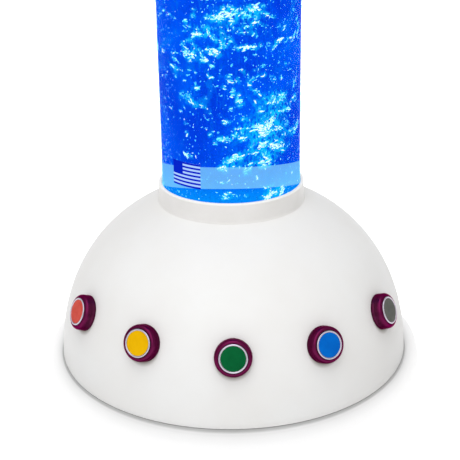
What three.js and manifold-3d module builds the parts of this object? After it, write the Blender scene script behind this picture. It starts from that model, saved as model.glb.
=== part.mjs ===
// Interactive bubble tube: a clear column of lit water that stands in a white dome with five push buttons.
// Millimetres, +Z up. The origin is on the floor under the tube's centre, and the middle button faces -Y.
// A turn is an angle about +Z counted from the front, so a place at turn 0 lies on -Y.
import * as THREE from "three";
import { mergeVertices } from "three/addons/utils/BufferGeometryUtils.js";
import Module from "manifold-3d";

const wasm = await Module();
wasm.setup();

// Fits
const SEAT_GAP = 0.3; // between pieces that rest on or in each other
const SLIDE_GAP = 0.2; // round a piece that slides
const OVERRUN = 6; // how far a cutter passes what it cuts
const ROOT = 2; // how far a feature reaches into the piece that it grows from

// Whole object
const OVERALL_HEIGHT = 1219.2;

// Dome: a revolved superellipse whose centre lies a little below the floor
const DOME_RADIUS = 198;
const DOME_CREST = 200.8;
const DOME_SINK = 10.6;
const DOME_POWER = 2.195;
const DOME_WALL = 4;
const RIM_LIFT = 0.6;
const DOME_SIDES = 48;
const DOME_RINGS = 8;
const TUBE_SIDES = 36;
const PIPE_SIDES = 12;
const HOSE_SIDES = 8;
const RING_SAMPLES = 24;
const BISECTIONS = 30;
const SCREW_BLOCK_WIDTH = 22;
const SCREW_BLOCK_DEPTH = 20;
const SCREW_BLOCK_HEIGHT = 18;
const SCREW_BLOCK_TURNS = [-100, -45, 45, 100];

// Clear tube and the collar round its foot
const TUBE_RADIUS = 76.2;
const TUBE_WALL = 3.2;
const TUBE_FLOOR = 12;
const COLLAR_WALL = 3.6;
const COLLAR_FIT = 0.5;
const COLLAR_RISE = 21.9;
const COLLAR_SPIGOT = 28;
const COLLAR_FLARE = 1.2;
const COLLAR_LIP = 0.3;
const COLLAR_EDGE = 1;
const LOCK_RING_WIDTH = 11.4;
const LOCK_RING_HEIGHT = 10;

// Lift-off cap
const CAP_PLATE = 4;
const CAP_SKIRT = 22;
const CAP_EDGE = 2.5;
const VENT_RADIUS = 10;
const VENT_RIM = 3;
const VENT_RIM_DROP = 1.2;

// Base plate and rubber feet
const PLATE_LIFT = 6;
const PLATE_THICKNESS = 6;
const FOOT_RADIUS = 14;
const FOOT_TAPER = 2.5;
const FOOT_INSET = 44; // from the dome's inside to a foot's middle
const FOOT_TURNS = [-90, 0, 90, 180];
const SLOT_LENGTH = 46;
const SLOT_WIDTH = 5;
const SLOT_PITCH = 11;
const SLOT_COUNT = 4;

// Socket that carries the tube, on three posts
const SPIGOT_CLEARANCE = 22; // between the socket's top and the collar's spigot
const SOCKET_SHELF = 6;
const SOCKET_SHELF_WIDTH = 10.2; // under the tube's edge
const SOCKET_WALL = 5.5;
const SOCKET_DEPTH = 30;
const SOCKET_FLANGE = 15;
const POST_RADIUS = 7;
const POST_TURNS = [-60, 60, 180];

// Light: a board of light-emitting diodes on an aluminium spreader, under the tube's clear floor
const SPREADER_INSET = 8.2; // inside the socket's outside
const SPREADER_THICKNESS = 4;
const SPREADER_RIB_HEIGHT = 8;
const SPREADER_RIB_WIDTH = 2.4;
const SPREADER_RIB_PITCH = 26;
const SPREADER_RIB_COUNT = 4;
const BOARD_GAP = 2;
const BOARD_THICKNESS = 1.6;
const PIPE_HOLE = 13;
const DRAIN_HOLE = 10;
const DIODE_SIDE = 5;
const DIODE_HEIGHT = 1.6;
const OUTER_DIODE_INSET = 11; // inside the socket's shelf
const OUTER_DIODES = 10;
const INNER_DIODE_RING = 23;
const INNER_DIODES = 4;

// Air inlet and drain outlet: two barbed fittings through the tube's floor, and the bubble diffuser
const FITTING_RADIUS = 6;
const FITTING_FLANGE = 10;
const FITTING_FLANGE_HEIGHT = 2.4;
const FITTING_DROP = 10;
const BARB_RADIUS = 3.8;
const BARB_NECK = 2.8;
const BARB_PITCH = 4;
const BARB_COUNT = 3;
const DRAIN_PLACE = 42;
const DIFFUSER_RADIUS = 28;
const DIFFUSER_HEIGHT = 12;
const DIFFUSER_EDGE = 2;
const JET_RADIUS = 1.8;
const JET_DEPTH = 6;
const OUTER_JET_RING = 22;
const OUTER_JETS = 8;
const INNER_JET_RING = 12;
const INNER_JETS = 4;

// Air pump, its hoses and the valve between them
const EQUIPMENT_INSET = 54; // from the dome's inside to the middle of what stands on the plate
const PUMP_TURN = -130;
const PUMP_LENGTH = 104;
const PUMP_DEPTH = 58;
const PUMP_HEIGHT = 40;
const PUMP_CORNER = 12;
const PUMP_EDGE = 4;
const PUMP_FOOT_RADIUS = 7;
const PUMP_FOOT_HEIGHT = 5;
const PUMP_FOOT_INSET = 14;
const NOZZLE_LIFT = 22;
const NOZZLE_LENGTH = 12;
const NOZZLE_ROOT = 5;
const NOZZLE_TIP = 3;
const AIRLINE_RADIUS = 3;
const VALVE_RADIUS = 7.5;
const VALVE_LENGTH = 24;
const VALVE_NECK_LENGTH = 6;
const VALVE_PLACE_SHARE = 0.46; // of the way from the tube's axis to the pump's nozzle
const VALVE_LIFT_SHARE = 0.23; // of the room between the plate and the fittings

// Drain hose and its plug
const DRAIN_HOSE_RADIUS = 6;
const PLUG_STEM = 3.2;
const PLUG_STEM_LENGTH = 12;
const PLUG_HEAD = 7.5;
const PLUG_HEAD_HEIGHT = 4.5;
const PLUG_EDGE = 1;

// Control box
const CONTROL_TURN = 135;
const CONTROL_LENGTH = 92;
const CONTROL_DEPTH = 54;
const CONTROL_HEIGHT = 22;
const CONTROL_CORNER = 5;
const CONTROL_LID = 5;
const CONTROL_LID_OVERHANG = 1;

// Recessed socket panel at the back, behind a notch in the dome's rim
const NOTCH_WIDTH = 60;
const NOTCH_HEIGHT = 42;
const NOTCH_CORNER = 9;
const RECESS_MARGIN = 2;
const PANEL_WALL = 3;
const PANEL_INSET = 14; // from the dome's inside to the panel's back
const PORT_SPACING = 32;
const PORT_LIFT = 18;
const INLET_FLANGE = 8;
const INLET_FLANGE_HEIGHT = 2;
const INLET_BARREL = 6;
const INLET_LENGTH = 22;
const INLET_BORE = 3.3;
const INLET_BORE_DEPTH = 12;
const INLET_PIN = 1;
const INLET_PIN_SHORT = 2;

// Push buttons: a spun bezel on a threaded shank, a sprung cap with a coloured disc, a nut and a switch
const BUTTON_SPACING = 30;
const BUTTON_HEIGHT = 75.4;
const BUTTON_CLIMB = 5; // the hand-drilled holes rise by up to this much
const BUTTON_TRAVEL = 2;
const BEZEL_RADIUS = 19.3;
const BEZEL_HEIGHT = 11;
const BEZEL_SHOULDER = 6.5;
const BEZEL_RIM = 0.7;
const BEZEL_FLOOR = 2;
const SHANK_RADIUS = 15;
const SHANK_LENGTH = 22;
const SHANK_BORE = 9;
const SHANK_FIT = 0.3;
const BUTTON_CAP_RADIUS = 14.8;
const BUTTON_CAP_RISE = 1.2;
const BUTTON_CAP_CHAMFER = 0.9;
const BUTTON_CAP_THICKNESS = 4.2;
const BUTTON_STEM_DEPTH = 12;
const INSERT_RECESS = 0.9;
const BUTTON_RING = 1.9;
const NUT_FLATS = 38;
const NUT_HEIGHT = 5;
const NUT_SIDES = 6;
const SWITCH_SIDE = 22;
const SWITCH_CORNER = 3;
const SWITCH_LENGTH = 18;
const SWITCH_NOSE = 8;
const SWITCH_NOSE_GAP = 0.6;
const TERMINAL_WIDTH = 5;
const TERMINAL_THICKNESS = 0.8;
const TERMINAL_LENGTH = 5;
const TERMINAL_SPACING = 12;
const SPRING_RADIUS = 12;
const SPRING_WIRE = 0.5;
const SPRING_TURNS = 3;
const BUTTON_SIDES = 18;

// Wiring
const LOOM_RADIUS = 3.4;
const LEAD_RADIUS = 1.8;
const LOOM_LIFT = 4.4;
const LOOM_TAIL = 7;
const LOOM_TURNS = [-90, -75, -60, -45, -30, -15, 0, 15, 30, 45, 60, 75, 90];

// Hose and lead routes, laid by hand as shares of the way between their ends. Air line: (way, rise or drop).
// Drain hose: (sideways, backwards, height above the plate). Leads: (turn, way, height) or (swing, height).
const AIRLINE_LOWER_SHARES = [
  [0.21, 0],
  [0.46, 0.37],
  [0.71, 0.81],
  [0.86, 1],
];
const AIRLINE_UPPER_SHARES = [
  [0.29, 0],
  [0.7, 0.1],
  [0.94, 0.36],
  [1, 0.68],
];
const DRAIN_SHARES = [
  [0, 0, 0.76],
  [0.2, 0.06, 0.41],
  [0.8, 0.17, 0.22],
  [1.05, 0.35, 0.15],
];
const DRAIN_STRAIGHT = 35; // the hose's level run up to the panel
const SWITCH_LEAD_SWING = 5; // how far the leads pass inside the loom
const SWITCH_LEAD_SHARES = [
  [1, 0.65],
  [0.9, 0.27],
];
const LIGHT_LEAD_SHARES = [
  [92, 0.21, 0.02],
  [95, 0.52, 0.12],
  [97, 0.82, 0.43],
  [98, 0.97, 0.75],
];
const LIGHT_LEAD_TURN = 98;
const LIGHT_LEAD_PLACE = 55;
const INLET_LEAD_SHARES = [
  [100, 0.84, 0],
  [118, 0.74, 0],
  [138, 0.72, 0],
  [158, 0.77, 0.39],
  [172, 0.95, 0.76],
];

const BUTTONS = [
  { name: "red", step: -2, climbShare: 1, colour: 0xd94a3f },
  { name: "yellow", step: -1, climbShare: 0.76, colour: 0xe8b400 },
  { name: "green", step: 0, climbShare: 0, colour: 0x056034 },
  { name: "blue", step: 1, climbShare: 0, colour: 0x0a66cc },
  { name: "grey", step: 2, climbShare: 0.45, colour: 0x5f645c },
];

// Sizes that follow from the ones above
const COLLAR_BORE = TUBE_RADIUS + COLLAR_FIT;
const COLLAR_RADIUS = COLLAR_BORE + COLLAR_WALL;
const NECK_HOLE = COLLAR_RADIUS + SEAT_GAP;
const PLATE_TOP = PLATE_LIFT + PLATE_THICKNESS;
const FLOOR_LEVEL = PLATE_TOP + SEAT_GAP;
const DOME_INSIDE = DOME_RADIUS - DOME_WALL;
const EQUIPMENT_PLACE = DOME_INSIDE - EQUIPMENT_INSET;
const FOOT_PLACE = DOME_INSIDE - FOOT_INSET;

// Dome curve: radius at a height, height at a radius, and slope of the surface, inset from the outside
const domeRadiusAt = (z, inset = 0) =>
  (DOME_RADIUS - inset) * (1 - ((z + DOME_SINK) / (DOME_CREST - inset)) ** DOME_POWER) ** (1 / DOME_POWER);
const domeHeightAt = (r, inset = 0) =>
  (DOME_CREST - inset) * (1 - (r / (DOME_RADIUS - inset)) ** DOME_POWER) ** (1 / DOME_POWER) - DOME_SINK;

function domeTiltAt(z) {
  const across = (domeRadiusAt(z) / DOME_RADIUS) ** (DOME_POWER - 1) / DOME_RADIUS;
  const up = ((z + DOME_SINK) / DOME_CREST) ** (DOME_POWER - 1) / DOME_CREST;
  return Math.atan2(up, across);
}

// Heights up the tube's line
const CROWN = domeHeightAt(NECK_HOLE);
const SPIGOT_FOOT = CROWN - COLLAR_SPIGOT;
const SOCKET_TOP = SPIGOT_FOOT - SPIGOT_CLEARANCE;
const SOCKET_SHELF_TOP = SOCKET_TOP - SOCKET_DEPTH;
const SOCKET_LIFT = SOCKET_SHELF_TOP - SOCKET_SHELF;
const SOCKET_RADIUS = COLLAR_BORE + SOCKET_WALL;
const SOCKET_SHELF_BORE = TUBE_RADIUS - SOCKET_SHELF_WIDTH;
const SPREADER_RADIUS = SOCKET_RADIUS - SPREADER_INSET;
const OUTER_DIODE_RING = SOCKET_SHELF_BORE - OUTER_DIODE_INSET;
const POST_PLACE = SOCKET_RADIUS + SOCKET_FLANGE / 2;
const TUBE_FOOT = SOCKET_SHELF_TOP + SEAT_GAP;
const TUBE_TOP = OVERALL_HEIGHT - CAP_PLATE - SEAT_GAP;
const TUBE_BORE = TUBE_RADIUS - TUBE_WALL;
const TUBE_FLOOR_TOP = TUBE_FOOT + TUBE_FLOOR;
const SPREADER_TOP = SOCKET_LIFT - SEAT_GAP;
const SPREADER_FOOT = SPREADER_TOP - SPREADER_THICKNESS;
const FITTING_TAIL = SPREADER_FOOT - FITTING_DROP - BARB_PITCH * BARB_COUNT;
const SHANK_HOLE = SHANK_RADIUS + SHANK_FIT;
const PORT_HEIGHT = FLOOR_LEVEL + PORT_LIFT;
const PANEL_BACK = DOME_INSIDE - PANEL_INSET;
const PANEL_FACE = PANEL_BACK + PANEL_WALL;
const PLUG_SEAT = PANEL_FACE + PLUG_HEAD_HEIGHT;

// How far the dome's flat facets lie inside its true curve, round it and up it
const SIDE_SAG = DOME_RADIUS * (1 - Math.cos(Math.PI / DOME_SIDES));
const RING_SAG = DOME_RADIUS * (1 - Math.cos(Math.PI / 4 / DOME_RINGS));
const FACET_SAG = SIDE_SAG + RING_SAG;

const UP = new THREE.Vector3(0, 0, 1);
const point = (r, z) => new THREE.Vector2(r, z);
const radians = THREE.MathUtils.degToRad;

// Materials
const material = (colour, roughness, metalness, extra = {}) =>
  new THREE.MeshStandardMaterial({ color: colour, roughness, metalness, ...extra });
const WHITE_SHELL = material(0xf2f2f0, 0.35, 0);
const WHITE_COLLAR = material(0xe8e6e2, 0.4, 0);
const CLEAR_ACRYLIC = material(0x8ec5ff, 0.05, 0, { transparent: true, opacity: 0.35 });
const GREY_PLASTIC = material(0x8d9093, 0.6, 0);
const BLACK_PLASTIC = material(0x17181a, 0.5, 0);
const BLACK_RUBBER = material(0x151515, 0.85, 0);
const CLEAR_HOSE = material(0xd5dde0, 0.3, 0);
const BOARD_GREEN = material(0x1f5b35, 0.5, 0);
const ALUMINIUM = material(0xc9cbce, 0.3, 1);
const PURPLE_ANODISED = material(0x560a3a, 0.3, 1);
const STEEL = material(0xb5b7ba, 0.3, 1);

// A three.js geometry as a solid that can be cut and joined
function solid(geometry) {
  const bare = geometry.index ? geometry.toNonIndexed() : geometry.clone();
  bare.deleteAttribute("normal");
  bare.deleteAttribute("uv");
  const merged = mergeVertices(bare);
  return new wasm.Manifold(
    new wasm.Mesh({
      numProp: 3,
      vertProperties: merged.getAttribute("position").array,
      triVerts: new Uint32Array(merged.index.array),
    }),
  );
}

// A solid as a three.js geometry
function geometryOf(shape) {
  const mesh = shape.getMesh();
  const geometry = new THREE.BufferGeometry();
  geometry.setAttribute("position", new THREE.BufferAttribute(mesh.vertProperties, mesh.numProp));
  geometry.setIndex(new THREE.BufferAttribute(mesh.triVerts, 1));
  geometry.computeVertexNormals();
  return geometry;
}

const joined = (shapes) => shapes.reduce((whole, shape) => whole.add(shape));
const cut = (shape, cutters) => cutters.reduce((whole, cutter) => whole.subtract(cutter), shape);
const moved = (shape, x, y, z) => shape.translate([x, y, z]);

// A closed profile of (radius, height) points turned about +Z
function turned(profile, sides) {
  const closed = [...profile, profile[0]];
  const onAxis = profile[0].x === 0 && profile[profile.length - 1].x === 0;
  const geometry = new THREE.LatheGeometry(onAxis ? profile : closed, sides);
  geometry.rotateX(Math.PI / 2);
  const shape = solid(geometry);
  return shape.volume() > 0 ? shape : turned([...profile].reverse(), sides);
}

// Points of an arc in a profile, with its angles in degrees from the +r direction
function arc(r, z, radiusR, radiusZ, from, to, steps) {
  return Array.from({ length: steps + 1 }, (_, i) => {
    const angle = radians(from + ((to - from) * i) / steps);
    return point(r + radiusR * Math.cos(angle), z + radiusZ * Math.sin(angle));
  });
}

const disc = (radius, low, high, sides) =>
  turned([point(0, low), point(radius, low), point(radius, high), point(0, high)], sides);
const ring = (inner, outer, low, high, sides) =>
  turned([point(inner, low), point(outer, low), point(outer, high), point(inner, high)], sides);

// A rounded rectangle, centred, as a shape to extrude
function roundedRectangle(width, depth, corner) {
  const x = width / 2 - corner;
  const y = depth / 2 - corner;
  const shape = new THREE.Shape();
  shape.absarc(x, y, corner, 0, Math.PI / 2);
  shape.absarc(-x, y, corner, Math.PI / 2, Math.PI);
  shape.absarc(-x, -y, corner, Math.PI, 1.5 * Math.PI);
  shape.absarc(x, -y, corner, 1.5 * Math.PI, 2 * Math.PI);
  return shape;
}

// A rounded block that stands on z = 0, with its top edge bevelled where edge is not zero
function block(width, depth, height, corner, edge = 0, cornerSteps = 3) {
  const geometry = new THREE.ExtrudeGeometry(roundedRectangle(width - 2 * edge, depth - 2 * edge, corner), {
    depth: height - 2 * edge,
    bevelEnabled: edge > 0,
    bevelSize: edge,
    bevelThickness: edge,
    bevelSegments: 2,
    curveSegments: cornerSteps,
  });
  return moved(solid(geometry), 0, 0, edge);
}

// A plain box from its two corners
function box(low, high) {
  const size = high.map((value, i) => value - low[i]);
  const geometry = new THREE.BoxGeometry(...size);
  return moved(solid(geometry), ...low.map((value, i) => value + size[i] / 2));
}

// A round tube along points, with flat ends
function swept(points, radius, sides, steps) {
  const section = new THREE.Shape();
  for (let i = 0; i < sides; i++) {
    const angle = (2 * Math.PI * i) / sides;
    section[i ? "lineTo" : "moveTo"](radius * Math.cos(angle), radius * Math.sin(angle));
  }
  const path = new THREE.CatmullRomCurve3(points, false, "centripetal");
  return solid(new THREE.ExtrudeGeometry(section, { steps, extrudePath: path, bevelEnabled: false }));
}

// A point at a turn, a distance from the tube's axis and a height
const place = (turn, distance, z) =>
  new THREE.Vector3(Math.sin(radians(turn)) * distance, -Math.cos(radians(turn)) * distance, z);

const lamp = new THREE.Group();

function addPiece(parent, name, shape, finish) {
  const mesh = new THREE.Mesh(geometryOf(shape), finish);
  mesh.name = name;
  parent.add(mesh);
  return mesh;
}

// A group turned about the tube's axis, in which -Y points outwards
function turnedGroup(turn) {
  const group = new THREE.Group();
  group.rotation.z = radians(turn);
  lamp.add(group);
  return group;
}

// Points up the dome curve from a height to a radius
function domeCurve(low, endRadius, inset, rings) {
  const angleOf = (share) => Math.asin(share ** (DOME_POWER / 2));
  const start = angleOf((low + DOME_SINK) / (DOME_CREST - inset));
  const end = Math.PI / 2 - angleOf(endRadius / (DOME_RADIUS - inset));
  return Array.from({ length: rings + 1 }, (_, i) => {
    const angle = start + ((end - start) * i) / rings;
    return point(
      (DOME_RADIUS - inset) * Math.cos(angle) ** (2 / DOME_POWER),
      (DOME_CREST - inset) * Math.sin(angle) ** (2 / DOME_POWER) - DOME_SINK,
    );
  });
}

// The space inside the dome, a gap clear of its wall
function domeInside(inset) {
  const curve = domeCurve(0, NECK_HOLE, inset, DOME_RINGS);
  return turned([point(0, 0), ...curve, point(0, curve[curve.length - 1].y)], DOME_SIDES);
}

// The highest and lowest points, in a button's frame, of a ring round its axis laid on the dome's surface
function ringOnDome(frame, radius, inset) {
  const heights = Array.from({ length: RING_SAMPLES }, (_, i) => {
    const angle = (2 * Math.PI * i) / RING_SAMPLES;
    let [low, high] = [-DOME_RADIUS / 2, 0];
    for (let step = 0; step < BISECTIONS; step++) {
      const middle = (low + high) / 2;
      const spot = new THREE.Vector3(radius * Math.cos(angle), radius * Math.sin(angle), middle);
      spot.applyMatrix4(frame.matrixWorld);
      if (Math.hypot(spot.x, spot.y) < domeRadiusAt(spot.z, inset)) low = middle;
      else high = middle;
    }
    return low;
  });
  return { highest: Math.max(...heights), lowest: Math.min(...heights) };
}

// Each button's own frame: +Z leaves the dome at right angles, and z = 0 touches its outside
function buttonFrame(button) {
  const height = BUTTON_HEIGHT + BUTTON_CLIMB * button.climbShare;
  const outer = new THREE.Group();
  outer.rotation.z = radians(button.step * BUTTON_SPACING);
  const frame = new THREE.Group();
  frame.position.set(0, -domeRadiusAt(height), height);
  frame.rotation.x = Math.PI / 2 - domeTiltAt(height);
  outer.add(frame);
  lamp.add(outer);
  outer.updateMatrixWorld(true);
  return frame;
}
const buttonFrames = BUTTONS.map(buttonFrame);
const lowestOnDomes = (radius, inset) =>
  Math.min(...buttonFrames.map((frame) => ringOnDome(frame, radius, inset).lowest));
const highestOnDomes = (radius, inset) =>
  Math.max(...buttonFrames.map((frame) => ringOnDome(frame, radius, inset).highest));

// Dome shell: curved wall, five button holes, the notch at the back and four screw blocks inside the rim
function domeShell() {
  const outside = domeCurve(RIM_LIFT, NECK_HOLE, 0, DOME_RINGS);
  const inside = domeCurve(RIM_LIFT, NECK_HOLE, DOME_WALL, DOME_RINGS);
  const wall = turned([...outside, ...inside.reverse()], DOME_SIDES);
  const reach = DOME_RADIUS - DOME_WALL / 2;
  const blocks = SCREW_BLOCK_TURNS.map((turn) => {
    const shape = box(
      [-SCREW_BLOCK_WIDTH / 2, -reach, FLOOR_LEVEL],
      [SCREW_BLOCK_WIDTH / 2, SCREW_BLOCK_DEPTH - reach, FLOOR_LEVEL + SCREW_BLOCK_HEIGHT],
    );
    return shape.rotate([0, 0, turn]).intersect(domeInside(DOME_WALL / 2));
  });
  const holes = buttonFrames.map((frame) =>
    disc(SHANK_HOLE, -DOME_WALL - OVERRUN, OVERRUN, BUTTON_SIDES).transform(frame.matrixWorld.elements),
  );
  const notch = block(NOTCH_WIDTH, 2 * NOTCH_HEIGHT, DOME_RADIUS, NOTCH_CORNER)
    .rotate([-90, 0, 0]);
  return cut(joined([wall, ...blocks]), [...holes, notch]);
}

// Collar: a ring that the tube passes through, flared where it meets the dome, with a spigot below
function tubeCollar() {
  const top = CROWN + COLLAR_RISE;
  const flareEnd = COLLAR_RADIUS + COLLAR_FLARE;
  const lipFoot = domeHeightAt(flareEnd) + SEAT_GAP;
  const lipTop = lipFoot + COLLAR_LIP;
  return turned(
    [
      point(COLLAR_BORE, SPIGOT_FOOT),
      point(COLLAR_RADIUS, SPIGOT_FOOT),
      point(COLLAR_RADIUS, CROWN + SEAT_GAP),
      point(NECK_HOLE, CROWN + SEAT_GAP),
      point(flareEnd, lipFoot),
      ...arc(flareEnd, CROWN + COLLAR_FLARE, COLLAR_FLARE, CROWN + COLLAR_FLARE - lipTop, 270, 180, 2),
      ...arc(COLLAR_RADIUS - COLLAR_EDGE, top - COLLAR_EDGE, COLLAR_EDGE, COLLAR_EDGE, 0, 90, 2),
      ...arc(COLLAR_BORE + COLLAR_EDGE, top - COLLAR_EDGE, COLLAR_EDGE, COLLAR_EDGE, 90, 180, 1),
    ],
    TUBE_SIDES,
  );
}

// Ring that holds the collar up against the underside of the dome
function collarLockRing() {
  const inner = COLLAR_RADIUS + SEAT_GAP;
  const outer = inner + LOCK_RING_WIDTH;
  const seatAt = (r) => domeHeightAt(r, DOME_WALL) - FACET_SAG - SEAT_GAP;
  const foot = seatAt(outer) - LOCK_RING_HEIGHT;
  return turned(
    [point(inner, foot), point(outer, foot), point(outer, seatAt(outer)), point(inner, seatAt(inner))],
    TUBE_SIDES,
  );
}

// Clear floor that closes the tube's foot, bored for the two fittings
function tubeFloor() {
  const plug = disc(TUBE_BORE - SEAT_GAP, TUBE_FOOT, TUBE_FLOOR_TOP, TUBE_SIDES);
  const hole = disc(FITTING_RADIUS + SEAT_GAP, TUBE_FOOT - OVERRUN, TUBE_FLOOR_TOP + OVERRUN, PIPE_SIDES);
  return cut(plug, [hole, moved(hole, 0, DRAIN_PLACE, 0)]);
}

// Cap: a plate with a skirt over the tube's top and a dished vent hole
function topCap() {
  const skirtFoot = TUBE_TOP - CAP_SKIRT;
  const underside = OVERALL_HEIGHT - CAP_PLATE;
  return turned(
    [
      point(COLLAR_BORE, skirtFoot),
      point(COLLAR_RADIUS, skirtFoot),
      ...arc(COLLAR_RADIUS - CAP_EDGE, OVERALL_HEIGHT - CAP_EDGE, CAP_EDGE, CAP_EDGE, 0, 90, 2),
      point(VENT_RADIUS + VENT_RIM, OVERALL_HEIGHT),
      point(VENT_RADIUS, OVERALL_HEIGHT - VENT_RIM_DROP),
      point(VENT_RADIUS, underside),
      point(COLLAR_BORE, underside),
    ],
    TUBE_SIDES,
  );
}

// Base plate, with slots under the pump for its air
function basePlate() {
  const radius = domeRadiusAt(PLATE_TOP, DOME_WALL) - FACET_SAG - SEAT_GAP;
  const plate = disc(radius, PLATE_LIFT, PLATE_TOP, DOME_SIDES);
  const slots = Array.from({ length: SLOT_COUNT }, (_, i) => {
    const offset = (i - (SLOT_COUNT - 1) / 2) * SLOT_PITCH;
    const slot = block(SLOT_LENGTH, SLOT_WIDTH, PLATE_TOP + OVERRUN, SLOT_WIDTH / 2, 0, 2);
    return moved(slot, 0, offset - EQUIPMENT_PLACE, 0).rotate([0, 0, PUMP_TURN]);
  });
  return cut(plate, slots);
}

// Rubber foot under the base plate
function rubberFoot() {
  const top = PLATE_LIFT - SEAT_GAP;
  return turned(
    [point(0, 0), point(FOOT_RADIUS - FOOT_TAPER, 0), point(FOOT_RADIUS, top), point(0, top)],
    PIPE_SIDES,
  );
}

// Socket: a cup with a shelf for the tube's foot and a flange for the posts
function tubeSocket() {
  const flange = SOCKET_RADIUS + SOCKET_FLANGE;
  return turned(
    [
      point(SOCKET_SHELF_BORE, SOCKET_LIFT),
      point(flange, SOCKET_LIFT),
      point(flange, SOCKET_SHELF_TOP),
      point(SOCKET_RADIUS, SOCKET_SHELF_TOP),
      point(SOCKET_RADIUS, SOCKET_TOP),
      point(COLLAR_BORE, SOCKET_TOP),
      point(COLLAR_BORE, SOCKET_SHELF_TOP),
      point(SOCKET_SHELF_BORE, SOCKET_SHELF_TOP),
    ],
    TUBE_SIDES,
  );
}

// Holes for the air pipe in the middle and for the drain behind it
function pipeHoles(low, high) {
  const pipe = disc(PIPE_HOLE, low, high, PIPE_SIDES);
  const drain = moved(disc(DRAIN_HOLE, low, high, PIPE_SIDES), 0, DRAIN_PLACE, 0);
  return [pipe, drain];
}

// Aluminium spreader, ribbed below
function heatSpreader() {
  const plate = disc(SPREADER_RADIUS, SPREADER_FOOT, SPREADER_TOP, TUBE_SIDES);
  const ribs = Array.from({ length: SPREADER_RIB_COUNT }, (_, i) => {
    const x = (i - (SPREADER_RIB_COUNT - 1) / 2) * SPREADER_RIB_PITCH;
    const half = Math.sqrt(SPREADER_RADIUS ** 2 - (Math.abs(x) + SPREADER_RIB_WIDTH) ** 2);
    return box(
      [x - SPREADER_RIB_WIDTH / 2, -half, SPREADER_FOOT - SPREADER_RIB_HEIGHT],
      [x + SPREADER_RIB_WIDTH / 2, half, SPREADER_FOOT + SPREADER_THICKNESS / 2],
    );
  });
  return cut(joined([plate, ...ribs]), pipeHoles(FITTING_TAIL - OVERRUN, TUBE_FOOT));
}

// Light board with two rings of diodes
function ledBoard() {
  const low = SPREADER_TOP + SEAT_GAP;
  const top = low + BOARD_THICKNESS;
  const board = disc(SOCKET_SHELF_BORE - BOARD_GAP, low, top, TUBE_SIDES);
  const half = DIODE_SIDE / 2;
  const diodeRing = (count, distance) =>
    Array.from({ length: count }, (_, i) =>
      box([-half, distance - half, low], [half, distance + half, top + DIODE_HEIGHT]).rotate([
        0,
        0,
        (360 * (i + 0.5)) / count,
      ]),
    );
  const diodes = [
    ...diodeRing(OUTER_DIODES, OUTER_DIODE_RING),
    ...diodeRing(INNER_DIODES, INNER_DIODE_RING),
  ];
  return joined([cut(board, pipeHoles(low - OVERRUN, top + OVERRUN)), ...diodes]);
}

// Barbed fitting through the tube's floor
function barbedFitting() {
  const barbs = Array.from({ length: BARB_COUNT }, (_, i) => [
    point(BARB_NECK, FITTING_TAIL + BARB_PITCH * i),
    point(BARB_RADIUS, FITTING_TAIL + BARB_PITCH * (i + 0.75)),
  ]).flat();
  const shoulder = FITTING_TAIL + BARB_PITCH * BARB_COUNT;
  const seat = TUBE_FLOOR_TOP + SEAT_GAP;
  return turned(
    [
      point(0, FITTING_TAIL),
      ...barbs,
      point(BARB_NECK, shoulder),
      point(FITTING_RADIUS, shoulder + BARB_NECK),
      point(FITTING_RADIUS, seat),
      point(FITTING_FLANGE, seat),
      point(FITTING_FLANGE, seat + FITTING_FLANGE_HEIGHT),
      point(0, seat + FITTING_FLANGE_HEIGHT),
    ],
    PIPE_SIDES,
  );
}

// Diffuser: a puck over the air inlet, with two rings of jets in its top
function airDiffuser() {
  const low = TUBE_FLOOR_TOP + SEAT_GAP;
  const top = low + DIFFUSER_HEIGHT;
  const puck = turned(
    [
      point(0, low),
      point(DIFFUSER_RADIUS, low),
      point(DIFFUSER_RADIUS, top - DIFFUSER_EDGE),
      point(DIFFUSER_RADIUS - DIFFUSER_EDGE, top),
      point(0, top),
    ],
    2 * PIPE_SIDES,
  );
  const jet = disc(JET_RADIUS, top - JET_DEPTH, top + OVERRUN, 5);
  const jetRing = (count, distance) =>
    Array.from({ length: count }, (_, i) => moved(jet, 0, distance, 0).rotate([0, 0, (360 * i) / count]));
  const inletPocket = disc(
    FITTING_FLANGE + SEAT_GAP,
    low - OVERRUN,
    low + FITTING_FLANGE_HEIGHT + SEAT_GAP,
    PIPE_SIDES,
  );
  const jets = [...jetRing(OUTER_JETS, OUTER_JET_RING), ...jetRing(INNER_JETS, INNER_JET_RING)];
  return cut(puck, [inletPocket, ...jets]);
}

// Diaphragm air pump: a bevelled case on four feet, with a nozzle that points at the tube's axis
const PUMP_CASE_LOW = FLOOR_LEVEL + PUMP_FOOT_HEIGHT;
const NOZZLE_HEIGHT = PUMP_CASE_LOW + NOZZLE_LIFT;
const NOZZLE_FACE = PUMP_DEPTH / 2 - EQUIPMENT_PLACE;
const NOZZLE_END = NOZZLE_FACE + NOZZLE_LENGTH;
const VALVE_PLACE = -NOZZLE_END * VALVE_PLACE_SHARE;
const VALVE_REST = FLOOR_LEVEL + VALVE_RADIUS;
const VALVE_HEIGHT = VALVE_REST + VALVE_LIFT_SHARE * (FITTING_TAIL - VALVE_REST);

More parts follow.
